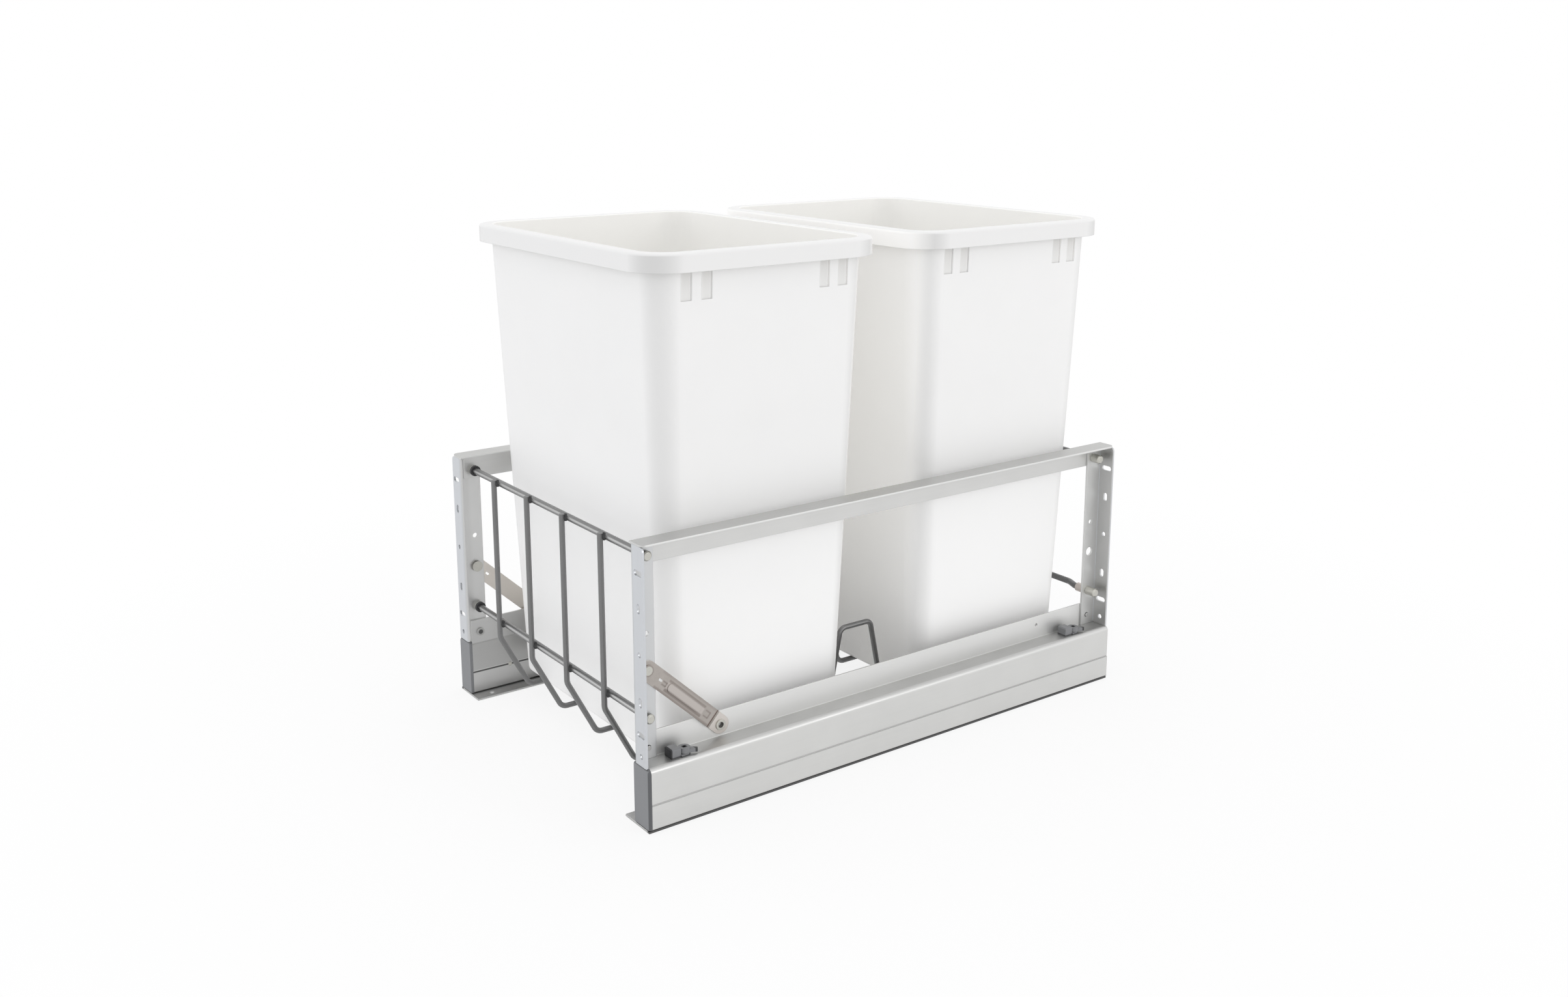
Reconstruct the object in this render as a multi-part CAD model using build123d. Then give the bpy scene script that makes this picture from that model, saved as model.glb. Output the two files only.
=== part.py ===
from build123d import *
import os

# Pull-out frame for two waste bins, shown closed. Millimetres, +Z up, +Y to the rear.
# The origin is on the cabinet floor, under the middle of the frame.
os.makedirs("parts", exist_ok=True)

# Overall size
frame_width = 375.0
frame_length = 559.0
frame_height = 251.0

# Clearances
seat_gap = 0.1
weld_gap = 0.05
hole_play = 0.1
cut_overrun = 1.0

# Side profile, an aluminium extrusion open below, with an inner wall above its ledge
profile_width = 24.0
profile_wall = 1.8
profile_bottom = 2.6
ledge_height = 57.0
inner_wall_top = 80.0
skin_step = 0.7
groove_height = 24.0
groove_size = 0.9
groove_depth = 0.4
ledge_corner_radius = 4.5
seam_height = 54.0
accessory_hole_radius = 1.6
accessory_hole_inset = 84.5
accessory_hole_height = 71.0

# Plastic cap on the front end of each side profile
cap_thickness = 3.0
cap_corner_radius = 2.2
tongue_length = 9.0
tongue_height = 3.4

# Steel floor bracket
foot_reach = 39.7
floor_sheet = 1.8
upstand_sheet = 1.5
upstand_clearance = 0.8
base_inset = 0.5
floor_hole_radius = 2.75
floor_hole_inset = 19.0
floor_hole_count = 4

# Ball-bearing slide, three members deep
slide_sheet = 1.5
slide_end_inset = 4.0
slide_foot_gap = 0.5
drawer_half_height = 11.7
mid_end_inset = 8.0
ball_diameter = 3.6
ball_play = 0.05
ball_pocket_play = 0.2
cage_gap = 1.7
tip_gap = 1.2
cage_web = 0.7
cage_strip = 1.0
cage_side_gap = 0.4
cage_length = 260.0
cage_start = 146.0
balls_per_row = 8
slide_rivet_radius = 2.0
slide_rivet_head_radius = 3.5
slide_rivet_head = 0.4
slide_rivet_inset = 40.0
slide_rivet_count = 4

# Soft-close damper on each cabinet member, and the striker that meets it
damper_length = 138.0
damper_rear_inset = 20.0
damper_width = 8.6
damper_corner_radius = 1.5
damper_roof_gap = 0.8
plunger_radius = 1.5
plunger_stroke = 14.0
plunger_head_radius = 2.8
plunger_head_length = 4.0
plunger_insert = 9.0
striker_length = 10.0
striker_height = 6.6
striker_gap = 0.3

# Corner bracket, a perforated steel angle
bracket_sheet = 2.0
bracket_side_width = 20.3
bracket_end_inset = 3.3
bracket_bend_radius = 2.5
bracket_corner_radius = 4.0
end_hole_inset = 7.7
end_slot_length = 12.0
end_slot_width = 5.0
end_oval_length = 8.6
end_oval_width = 5.0
end_hole_radius = 2.4
side_hole_radius = 2.5
end_slot_shares = (0.129, 0.858)
end_oval_shares = (0.286, 0.709)
end_hole_shares = (0.492, 0.956)
side_hole_share = 0.425
bracket_screw_height = 67.0
bracket_screw_radius = 2.0
bracket_screw_head_radius = 4.0
bracket_screw_head = 1.5
bracket_screw_tip = 1.2

# Top rail, an aluminium angle over the brackets
rail_sheet = 1.8
rail_web_below_rod = 8.0
rail_web_inset = 3.0
rail_corner_radius = 6.0
rail_bend_radius = 1.2

# Cross rods and their fasteners
rod_radius = 3.2
rod_inset = 12.5
top_rod_drop = 14.0
low_rod_height = 94.0
rod_bend_radius = 12.0
rod_joggle_start = 15.0
rod_joggle_length = 13.0
rod_bolt_radius = 2.0
rod_bolt_depth = 12.0
rod_bolt_tip_gap = 0.5
rod_bolt_head_radius = 4.4
front_bolt_head = 5.0
rear_top_bolt_head = 10.5
rear_low_bolt_head = 12.0
rod_bolt_edge = 1.2
collar_radius = 5.2
collar_length = 3.0
spacer_radius = 4.2
spacer_length = 3.3
sleeve_radius = 4.6
sleeve_length = 12.0
sleeve_edge = 0.8

# Wire cradle under and around the bins
wire_radius = 2.6
wire_count = 4
wire_pitch = 69.0
wire_floor_height = 25.0
wire_top_overrun = 3.5
front_bend_height = 81.0
front_slant_run = 29.5
rear_lean = 9.5
hump_top_height = 95.0
hump_foot_half = 33.0
hump_top_half = 18.5
front_bend_radius = 12.0
floor_bend_radius = 9.0
hump_top_radius = 7.0

# Diagonal brace at each front corner
brace_width = 17.0
brace_sheet = 1.4
brace_top_height = 136.5
brace_low_height = 67.9
brace_low_inset = 85.6
brace_fold_before = 9.0
brace_fold_length = 4.5
brace_bead_start = 27.0
brace_bead_length = 43.0
brace_bead_width = 8.4
brace_bead_height = 0.9
brace_slit_length = 5.0
brace_slit_width = 2.2
brace_slit_inset = 17.0
brace_bolt_radius = 4.4
brace_bolt_head_radius = 5.4
brace_bolt_head = 3.2
brace_bolt_tip_radius = 5.0
brace_bolt_tip = 1.2
brace_rivet_radius = 3.3
brace_rivet_bore = 2.5
brace_rivet_head_radius = 4.8
brace_rivet_head = 1.0

# Quick-release lock on the ledge, one near each corner
lock_inset = 42.0
lock_outboard = 0.5
lock_radius = 5.2
lock_height = 8.2
lock_collar_height = 6.4
lock_base_height = 1.6
lock_block_width = 11.0
lock_block_length = 9.5
lock_block_inboard = 1.5
lock_block_gap = 0.4
lock_block_edge = 1.0
lock_pin_radius = 2.8
lock_peg_radius = 2.0
lock_peg_tip = 0.1
lock_tail_reach = 11.5
lock_tail_angle = 30.0
lock_tail_root = 3.6
lock_tail_tip = 1.4
lock_tail_height = 3.2
lock_lift_gap = 0.15
lock_play = 0.06
lock_socket_radius = 1.9
lock_socket_depth = 3.4

# Bins
bin_rim_lap = 6.5
bin_rim_depth = 248.0
bin_height = 454.0
bin_front_inset = 19.5
bin_gap = 38.5
bin_wall = 2.2
bin_floor = 2.8
bin_draft = 17.0
bin_rim_height = 16.0
bin_rim_overhang = 11.0
bin_rim_radius = 38.0
bin_rim_edge = 2.6
bin_mouth_edge = 0.9
bin_top_radius = 27.0
bin_bottom_radius = 20.0
bin_bottom_edge = 5.0
bin_rest_gap = 0.2
recess_width = 10.5
recess_drop = 25.0
recess_depth = 1.4
recess_pitch = 20.0
recess_pair_spacing = 142.0

# Planes and levels that the pieces share, on the right-hand side
front_y = -frame_length / 2
rear_y = frame_length / 2
outer_x = frame_width / 2
inner_x = outer_x - profile_width
wall_x = inner_x + profile_wall
outer_wall_x = outer_x - profile_wall
flange_x = wall_x + seat_gap
flange_outer_x = flange_x + bracket_sheet
bracket_bottom = ledge_height + seat_gap
bracket_top = frame_height - rail_sheet - seat_gap
bracket_span = frame_height - ledge_height
top_rod_height = frame_height - top_rod_drop
bin_rim_width = 2 * (inner_x + bin_rim_lap)
flange_end_x = outer_x - bracket_end_inset
hole_x = flange_end_x - end_hole_inset
rod_front_y = front_y + rod_inset
rod_rear_y = rear_y - rod_inset
top_rod_end = inner_x - seat_gap
low_rod_end = flange_x - seat_gap
ball_space = ball_diameter + 2 * ball_play

# Slide stack across the inside of the profile, and its levels about slide_z
drawer_web_x = wall_x + seat_gap
drawer_web_outer_x = drawer_web_x + slide_sheet
upstand_outer_x = outer_wall_x - upstand_clearance
upstand_x = upstand_outer_x - upstand_sheet
cabinet_web_outer_x = upstand_x - weld_gap
cabinet_web_x = cabinet_web_outer_x - slide_sheet
slide_x = (cabinet_web_x + drawer_web_outer_x) / 2
mid_web_x = slide_x - slide_sheet / 2
mid_web_outer_x = slide_x + slide_sheet / 2
mid_tip_inner_x = drawer_web_outer_x + tip_gap
mid_tip_outer_x = cabinet_web_x - cage_gap
drawer_tip_x = mid_web_x - cage_gap
inner_ball_x = (mid_tip_inner_x + drawer_tip_x) / 2
outer_ball_x = (slide_x + mid_tip_outer_x) / 2
mid_inner_half = drawer_half_height + ball_space
mid_half_height = mid_inner_half + slide_sheet
cabinet_inner_half = mid_half_height + ball_space
cabinet_half_height = cabinet_inner_half + slide_sheet
slide_z = floor_sheet + slide_foot_gap + cabinet_half_height
slide_top = slide_z + cabinet_half_height
slide_front_y = front_y + slide_end_inset
slide_rear_y = rear_y - slide_end_inset


def share_height(share):
    """Height on a bracket, from the frame's top down to the ledge."""
    return frame_height - share * bracket_span


def block(x_low, x_high, y_low, y_high, z_low, z_high):
    """Box between two corners."""
    size = Box(x_high - x_low, y_high - y_low, z_high - z_low)
    return Pos((x_low + x_high) / 2, (y_low + y_high) / 2, (z_low + z_high) / 2) * size


def rod_x(radius, x_low, x_high, y, z):
    """Round bar along X."""
    bar = Cylinder(radius, x_high - x_low)
    return Pos((x_low + x_high) / 2, y, z) * Rot(0, 90, 0) * bar


def rod_y(radius, y_low, y_high, x, z):
    """Round bar along Y."""
    bar = Cylinder(radius, y_high - y_low)
    return Pos(x, (y_low + y_high) / 2, z) * Rot(90, 0, 0) * bar


def rod_z(radius, z_low, z_high, x, y):
    """Round bar along Z."""
    return Pos(x, y, (z_low + z_high) / 2) * Cylinder(radius, z_high - z_low)


def prism_y(points, y_low, y_high):
    """Straight bar along Y from its outline of (x, z) points."""
    corners = [(x, y_low, z) for x, z in points]
    outline = make_face(Polyline(*corners, close=True))
    return extrude(outline, amount=y_high - y_low, dir=(0, 1, 0))


def sweep_round(path, radius):
    """Round wire along a path."""
    section = Plane(origin=path @ 0, z_dir=path % 0) * Circle(radius)
    return sweep(section, path)


def edges_at(solid, axis, **limits):
    """Edges along an axis whose centres lie at the given x, y or z."""
    near = weld_gap
    found = solid.edges().filter_by(axis)
    for letter, value in limits.items():
        key = letter.upper()
        found = found.filter_by(lambda edge: abs(getattr(edge.center(), key) - value) < near)
    return found


def group(solids):
    """Separate solids kept in one node."""
    parts = []
    for item in solids:
        parts.extend(item.solids())
    return Compound(children=parts)


def save(name, solid):
    """Write one node."""
    export_step(solid, "parts/" + name + ".step")


def to_left(solid):
    """Left-hand copy of a right-hand piece."""
    return mirror(solid, about=Plane.YZ)


def to_rear(solid):
    """Rear copy of a front piece."""
    return mirror(solid, about=Plane.XZ)


def save_pair(name, solid):
    """Write a right-hand piece and its left-hand copy."""
    save(name + "_right", solid)
    save(name + "_left", to_left(solid))


def rivet_places(count):
    """Rivet centres along a slide member."""
    start = slide_front_y + slide_rivet_inset
    step = (slide_rear_y - slide_front_y - 2 * slide_rivet_inset) / (count - 1)
    return [start + step * index for index in range(count)]


def brace_frame():
    """Plane at the brace's upper hole: local X runs down the strap, local Z points outwards."""
    origin = (flange_outer_x + seat_gap, rod_front_y, brace_top_height)
    run = (0, brace_low_inset - rod_inset, brace_low_height - brace_top_height)
    return Plane(origin=origin, x_dir=run, z_dir=(1, 0, 0))


def brace_length():
    """Distance between the brace's two holes."""
    run = Vector(0, brace_low_inset - rod_inset, brace_low_height - brace_top_height)
    return run.length


def side_profile():
    step_x = outer_x - skin_step
    groove_top = groove_height + groove_size
    outline = [
        (inner_x, profile_bottom),
        (inner_x, groove_height),
        (inner_x + groove_depth, groove_height + groove_size / 2),
        (inner_x, groove_top),
        (inner_x, seam_height),
        (inner_x + groove_depth, seam_height + groove_size / 2),
        (inner_x, seam_height + groove_size),
        (inner_x, inner_wall_top),
        (wall_x, inner_wall_top),
        (wall_x, ledge_height),
        (step_x, ledge_height),
        (step_x, groove_top),
        (step_x - groove_depth, groove_height + groove_size / 2),
        (step_x, groove_height),
        (outer_x, groove_height),
        (outer_x, profile_bottom),
        (outer_wall_x, profile_bottom),
        (outer_wall_x, ledge_height - profile_wall),
        (wall_x, ledge_height - profile_wall),
        (wall_x, profile_bottom),
    ]
    bar = prism_y(outline, front_y + cap_thickness + seat_gap, rear_y)
    bar = fillet(edges_at(bar, Axis.Y, x=step_x, z=ledge_height), ledge_corner_radius)
    low = inner_x - cut_overrun
    high = wall_x + cut_overrun
    for y in (rod_front_y, rod_rear_y):
        bar -= rod_x(bracket_screw_radius + hole_play, low, high, y, bracket_screw_height)
    brace_y = front_y + brace_low_inset
    bar -= rod_x(brace_rivet_radius + hole_play, low, high, brace_y, brace_low_height)
    accessory_y = rear_y - accessory_hole_inset
    bar -= rod_x(accessory_hole_radius, low, high, accessory_y, accessory_hole_height)
    for y in rivet_places(slide_rivet_count):
        bar -= rod_x(slide_rivet_radius + hole_play, low, high, y, slide_z)
    for y in (front_y + lock_inset, rear_y - lock_inset):
        peg_low = ledge_height - profile_wall - cut_overrun
        bar -= rod_z(lock_peg_radius + hole_play, peg_low, ledge_height + cut_overrun, lock_x(), y)
    return bar


def front_cap():
    face = block(inner_x, outer_x, front_y, front_y + cap_thickness, profile_bottom, ledge_height)
    face = fillet(edges_at(face, Axis.Y, x=outer_x, z=ledge_height), ledge_corner_radius)
    outline = face.edges().group_by(Axis.Y)[0]
    outline = outline.filter_by(lambda edge: edge.center().X > inner_x + weld_gap)
    outline = outline.filter_by(lambda edge: edge.center().Z > profile_bottom + weld_gap)
    face = fillet(outline, cap_corner_radius)
    roof = ledge_height - profile_wall - seat_gap
    tongue_end = front_y + cap_thickness + tongue_length
    tongue = block(
        wall_x + hole_play, outer_wall_x - hole_play,
        front_y + cap_thickness, tongue_end, roof - tongue_height, roof,
    )
    return face + tongue


def floor_bracket():
    base_low = outer_x - foot_reach
    plate = block(base_low, outer_x - base_inset, front_y, rear_y, 0, floor_sheet)
    upstand = block(upstand_x, upstand_outer_x, slide_front_y, slide_rear_y, floor_sheet, slide_top)
    bracket = plate + upstand
    hole_line = (base_low + inner_x) / 2
    run = frame_length - 2 * floor_hole_inset
    for index in range(floor_hole_count):
        y = front_y + floor_hole_inset + run * index / (floor_hole_count - 1)
        bracket -= rod_z(floor_hole_radius, -cut_overrun, floor_sheet + cut_overrun, hole_line, y)
    for y in rivet_places(slide_rivet_count):
        bracket -= rivet_hole(upstand_x, upstand_outer_x, y)
    return bracket


def rivet_hole(x_low, x_high, y):
    radius = slide_rivet_radius + hole_play
    return rod_x(radius, x_low - cut_overrun, x_high + cut_overrun, y, slide_z)


def bracket_rivet(y):
    tip = cabinet_web_x + weld_gap
    shank = rod_x(slide_rivet_radius, tip, upstand_outer_x + slide_rivet_head, y, slide_z)
    head_low = upstand_outer_x + weld_gap
    head = rod_x(slide_rivet_head_radius, head_low, head_low + slide_rivet_head, y, slide_z)
    return shank + head


def drawer_rivet(y):
    return rod_x(slide_rivet_radius, inner_x, drawer_web_outer_x, y, slide_z)


def channel(web_low, web_high, tip, half_height, y_low, y_high):
    """C-shaped slide member: a web with a flange at each edge, out to its tip."""
    z_low = slide_z - half_height
    z_high = slide_z + half_height
    flange_low = min(web_low, tip)
    flange_high = max(web_high, tip)
    member = block(web_low, web_high, y_low, y_high, z_low, z_high)
    member += block(flange_low, flange_high, y_low, y_high, z_high - slide_sheet, z_high)
    member += block(flange_low, flange_high, y_low, y_high, z_low, z_low + slide_sheet)
    return member


def cabinet_member():
    member = channel(
        cabinet_web_x, cabinet_web_outer_x, slide_x,
        cabinet_half_height, slide_front_y, slide_rear_y,
    )
    for y in rivet_places(slide_rivet_count):
        member -= rivet_hole(cabinet_web_x, cabinet_web_outer_x, y)
    return member


def drawer_member():
    member = channel(
        drawer_web_x, drawer_web_outer_x, drawer_tip_x,
        drawer_half_height, slide_front_y, slide_rear_y,
    )
    for y in rivet_places(slide_rivet_count):
        member -= rivet_hole(drawer_web_x, drawer_web_outer_x, y)
    return member


def mid_member():
    y_low = front_y + mid_end_inset
    y_high = rear_y - mid_end_inset
    z_low = slide_z - mid_half_height
    z_high = slide_z + mid_half_height
    member = block(mid_web_x, mid_web_outer_x, y_low, y_high, z_low, z_high)
    flange = block(mid_tip_inner_x, mid_tip_outer_x, y_low, y_high, z_high - slide_sheet, z_high)
    member += flange
    member += block(mid_tip_inner_x, mid_tip_outer_x, y_low, y_high, z_low, z_low + slide_sheet)
    return member


def ball_cage(ball_x, web_middle, far_tip, row_half):
    """Cage with two rows of balls, as separate solids."""
    y_low = front_y + cage_start
    y_high = y_low + cage_length
    web_low = web_middle - cage_web / 2
    web_high = web_middle + cage_web / 2
    strip_low = min(far_tip, web_low)
    strip_high = max(far_tip, web_high)
    reach = row_half + cage_strip / 2
    cage = block(web_low, web_high, y_low, y_high, slide_z - reach, slide_z + reach)
    pocket_radius = ball_diameter / 2 + ball_pocket_play
    balls = []
    for row_z in (slide_z - row_half, slide_z + row_half):
        strip_bottom = row_z - cage_strip / 2
        strip_top = row_z + cage_strip / 2
        cage += block(strip_low, strip_high, y_low, y_high, strip_bottom, strip_top)
        for index in range(balls_per_row):
            y = y_low + cage_length * (index + 1 / 2) / balls_per_row
            low = strip_bottom - ball_pocket_play
            cage -= rod_z(pocket_radius, low, strip_top + ball_pocket_play, ball_x, y)
            balls.append(Pos(ball_x, y, row_z) * Sphere(ball_diameter / 2))
    return group([cage] + balls)


def outer_cage():
    web_middle = (mid_tip_outer_x + cabinet_web_x) / 2
    row_half = mid_half_height + ball_space / 2
    return ball_cage(outer_ball_x, web_middle, slide_x + cage_side_gap, row_half)


def inner_cage():
    web_middle = (drawer_tip_x + mid_web_x) / 2
    row_half = drawer_half_height + ball_space / 2
    return ball_cage(inner_ball_x, web_middle, mid_tip_inner_x + cage_side_gap, row_half)


def damper_levels():
    """Lowest and highest level of the damper housing."""
    return slide_top + seat_gap, ledge_height - profile_wall - damper_roof_gap


def damper_housing():
    bottom, top = damper_levels()
    y_high = rear_y - damper_rear_inset
    y_low = y_high - damper_length
    x_low = slide_x + seat_gap
    case = block(x_low, x_low + damper_width, y_low, y_high, bottom, top)
    case = fillet(case.edges().filter_by(Axis.Y).group_by(Axis.Z)[-1], damper_corner_radius)
    bore_x = x_low + damper_width / 2
    bore_end = y_low + plunger_insert + seat_gap
    bore_z = (bottom + top) / 2
    return case - rod_y(plunger_radius + hole_play, y_low - cut_overrun, bore_end, bore_x, bore_z)


def damper_plunger():
    bottom, top = damper_levels()
    y_mouth = rear_y - damper_rear_inset - damper_length
    x = slide_x + seat_gap + damper_width / 2
    z = (bottom + top) / 2
    rod = rod_y(plunger_radius, y_mouth - plunger_stroke, y_mouth + plunger_insert, x, z)
    tip_high = y_mouth - plunger_stroke + plunger_head_length
    head = rod_y(plunger_head_radius, y_mouth - plunger_stroke, tip_high, x, z)
    return rod + head


def striker():
    roof = ledge_height - profile_wall - seat_gap
    y_high = rear_y - damper_rear_inset - damper_length - plunger_stroke - striker_gap
    x_low = slide_x + seat_gap
    x_high = x_low + damper_width
    return block(x_low, x_high, y_high - striker_length, y_high, roof - striker_height, roof)


def slot_y(length, width, x, z, upright):
    """Cutter for a slot through an end flange at the front."""
    turn = 90 if upright else 0
    shape = Plane(origin=(x, front_y - cut_overrun, z), x_dir=(1, 0, 0), z_dir=(0, 1, 0))
    outline = shape * Rot(0, 0, turn) * SlotOverall(length, width)
    return extrude(outline, amount=bracket_sheet + 2 * cut_overrun)


def corner_bracket():
    end = block(flange_x, flange_end_x, front_y, front_y + bracket_sheet, bracket_bottom, bracket_top)
    end = fillet(edges_at(end, Axis.Y, x=flange_end_x, z=bracket_top), bracket_corner_radius)
    side_y = front_y + bracket_side_width
    side = block(flange_x, flange_outer_x, front_y, side_y, bracket_bottom, bracket_top)
    angle = end + side
    angle = fillet(edges_at(angle, Axis.Z, x=flange_x, y=front_y), bracket_bend_radius)
    for share in end_slot_shares:
        angle -= slot_y(end_slot_length, end_slot_width, hole_x, share_height(share), False)
    for share in end_oval_shares:
        angle -= slot_y(end_oval_length, end_oval_width, hole_x, share_height(share), True)
    for share in end_hole_shares:
        y_low = front_y - cut_overrun
        y_high = front_y + bracket_sheet + cut_overrun
        angle -= rod_y(end_hole_radius, y_low, y_high, hole_x, share_height(share))
    holes = [
        (rod_bolt_radius + hole_play, top_rod_height),
        (rod_bolt_radius + hole_play, low_rod_height),
        (side_hole_radius, share_height(side_hole_share)),
        (side_hole_radius, bracket_screw_height),
        (brace_bolt_radius + hole_play, brace_top_height),
    ]
    for radius, z in holes:
        x_low = flange_x - cut_overrun
        x_high = flange_outer_x + cut_overrun
        angle -= rod_x(radius, x_low, x_high, rod_front_y, z)
    return angle


def top_rail():
    web_bottom = top_rod_height - rail_web_below_rod
    web_high = inner_x + rail_sheet
    flange = block(inner_x, flange_end_x, front_y, rear_y, frame_height - rail_sheet, frame_height)
    for y in (front_y, rear_y):
        flange = fillet(edges_at(flange, Axis.Z, x=flange_end_x, y=y), rail_corner_radius)
    web_front = front_y + rail_web_inset
    web_rear = rear_y - rail_web_inset
    angle = flange + block(inner_x, web_high, web_front, web_rear, web_bottom, frame_height)
    angle = fillet(edges_at(angle, Axis.Y, x=inner_x, z=frame_height), rail_bend_radius)
    for y in (rod_front_y, rod_rear_y):
        x_low = inner_x - cut_overrun
        x_high = web_high + cut_overrun
        angle -= rod_x(rod_bolt_radius + hole_play, x_low, x_high, y, top_rod_height)
    return angle


def drilled(bar, end_x, y, z):
    """Bar with a bolt hole in each end."""
    hole_low = end_x - rod_bolt_depth
    hole = rod_x(rod_bolt_radius + hole_play, hole_low, end_x + cut_overrun, y, z)
    return bar - hole - to_left(hole)


def straight_rod(end_x, y, z):
    return drilled(rod_x(rod_radius, -end_x, end_x, y, z), end_x, y, z)


def wire_rear_y(z):
    """Where a cradle wire's leaning rear leg is at a height."""
    top_y = rod_rear_y + rod_radius + wire_radius + 2 * weld_gap
    top_z = top_rod_height + wire_top_overrun
    lean = rear_lean / (top_z - wire_floor_height)
    return top_y - lean * (top_z - z) + lean * wire_top_overrun


def rear_low_rod():
    """The ends step forwards to the brackets, the middle passes behind the wires."""
    middle_y = wire_rear_y(low_rod_height) + rod_radius + wire_radius + weld_gap
    first = low_rod_end - rod_joggle_start
    second = first - rod_joggle_length
    places = [
        (-low_rod_end, rod_rear_y), (-first, rod_rear_y), (-second, middle_y),
        (second, middle_y), (first, rod_rear_y), (low_rod_end, rod_rear_y),
    ]
    points = [(x, y, low_rod_height) for x, y in places]
    bends = [rod_bend_radius] * (len(points) - 2)
    bar = sweep_round(FilletPolyline(*points, radius=bends), rod_radius)
    return drilled(bar, low_rod_end, rod_rear_y, low_rod_height)


def cradle_wire(x):
    front_leg_y = rod_front_y - rod_radius - wire_radius - weld_gap
    top_z = top_rod_height + wire_top_overrun
    hump_y = front_y + bin_front_inset + bin_rim_depth + bin_gap / 2
    places = [
        (front_leg_y, top_z),
        (front_leg_y, front_bend_height),
        (front_leg_y + front_slant_run, wire_floor_height),
        (hump_y - hump_foot_half, wire_floor_height),
        (hump_y - hump_top_half, hump_top_height),
        (hump_y + hump_top_half, hump_top_height),
        (hump_y + hump_foot_half, wire_floor_height),
        (wire_rear_y(wire_floor_height), wire_floor_height),
        (wire_rear_y(top_z), top_z),
    ]
    bends = [
        front_bend_radius, floor_bend_radius, floor_bend_radius,
        hump_top_radius, hump_top_radius, floor_bend_radius, floor_bend_radius,
    ]
    path = FilletPolyline(*[(x, y, z) for y, z in places], radius=bends)
    return sweep_round(path, wire_radius)


def rod_places():
    """Right-hand bolts: depth, height, where the rod ends, length of the head."""
    return [
        (rod_front_y, top_rod_height, top_rod_end, front_bolt_head),
        (rod_front_y, low_rod_height, low_rod_end, front_bolt_head),
        (rod_rear_y, top_rod_height, top_rod_end, rear_top_bolt_head),
        (rod_rear_y, low_rod_height, low_rod_end, rear_low_bolt_head),
    ]


def rod_bolt(y, z, end_x, head_length):
    head_low = flange_outer_x + seat_gap
    head_high = head_low + head_length
    shank_low = end_x - rod_bolt_depth + rod_bolt_tip_gap
    shank = rod_x(rod_bolt_radius, shank_low, head_high, y, z)
    head = rod_x(rod_bolt_head_radius, head_low, head_high, y, z)
    head = chamfer(head.edges().sort_by(Axis.X)[-1], rod_bolt_edge)
    return shank + head


def rod_collar(y, z, end_x):
    """Stepped bush on a rod's end: a spacer at the flange, then a wider ring."""
    high = end_x - seat_gap
    step = high - spacer_length
    low = step - collar_length
    bush = rod_x(spacer_radius, step, high, y, z) + rod_x(collar_radius, low, step, y, z)
    return bush - rod_x(rod_radius + weld_gap, low, high, y, z)


def rear_sleeve():
    """Bright ferrule on each end of the rear lower rod."""
    high = low_rod_end - seat_gap
    low = high - sleeve_length
    ring = rod_x(sleeve_radius, low, high, rod_rear_y, low_rod_height)
    ring = chamfer(ring.edges().sort_by(Axis.X)[0], sleeve_edge)
    return ring - rod_x(rod_radius + weld_gap, low, high, rod_rear_y, low_rod_height)


def bracket_screw(y):
    head_high = inner_x - weld_gap
    head_low = head_high - bracket_screw_head
    head = rod_x(bracket_screw_head_radius, head_low, head_high, y, bracket_screw_height)
    tip = flange_outer_x + bracket_screw_tip
    return head + rod_x(bracket_screw_radius, head_low, tip, y, bracket_screw_height)


def brace():
    length = brace_length()
    half = brace_width / 2
    drop = flange_outer_x - wall_x
    fold_end = length - brace_fold_before
    fold_start = fold_end - brace_fold_length
    sheet = [
        (-half, 0), (fold_start, 0), (fold_end, -drop), (length + half, -drop),
        (length + half, brace_sheet - drop), (fold_end, brace_sheet - drop),
        (fold_start, brace_sheet), (-half, brace_sheet),
    ]
    corners = [(along, -half, up) for along, up in sheet]
    strap = extrude(make_face(Polyline(*corners, close=True)), amount=brace_width, dir=(0, 1, 0))
    bead_middle = brace_bead_start + brace_bead_length / 2
    bead = SlotOverall(brace_bead_length, brace_bead_width)
    strap += Pos(bead_middle, 0, brace_sheet) * extrude(bead, amount=brace_bead_height)
    rounded = Pos(length / 2, 0, -drop) * SlotOverall(length + brace_width, brace_width)
    strap = strap & extrude(rounded, amount=drop + brace_sheet + brace_bead_height)
    for along, radius in ((0, brace_bolt_radius), (length, brace_rivet_radius)):
        hole_low = -drop - cut_overrun
        strap -= rod_z(radius + hole_play, hole_low, brace_sheet + cut_overrun, along, 0)
    slit = extrude(SlotOverall(brace_slit_length, brace_slit_width), amount=brace_sheet)
    strap -= Pos(brace_slit_inset, 0, 0) * slit
    return brace_frame() * strap


def brace_bolt():
    """Head on the inner face of the bracket, riveted tip on the strap."""
    strap_outer = flange_outer_x + seat_gap + brace_sheet
    head_high = flange_x - weld_gap
    head_low = head_high - brace_bolt_head
    tip_low = strap_outer + weld_gap
    tip_high = tip_low + brace_bolt_tip
    y, z = rod_front_y, brace_top_height
    bolt = rod_x(brace_bolt_head_radius, head_low, head_high, y, z)
    bolt += rod_x(brace_bolt_radius, head_high, tip_high, y, z)
    return bolt + rod_x(brace_bolt_tip_radius, tip_low, tip_high, y, z)


def brace_rivet():
    head_low = wall_x + seat_gap + brace_sheet + weld_gap
    head_high = head_low + brace_rivet_head
    y = front_y + brace_low_inset
    rivet = rod_x(brace_rivet_radius, inner_x, head_high, y, brace_low_height)
    rivet += rod_x(brace_rivet_head_radius, head_low, head_high, y, brace_low_height)
    return rivet - rod_x(brace_rivet_bore, inner_x, head_high, y, brace_low_height)


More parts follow.
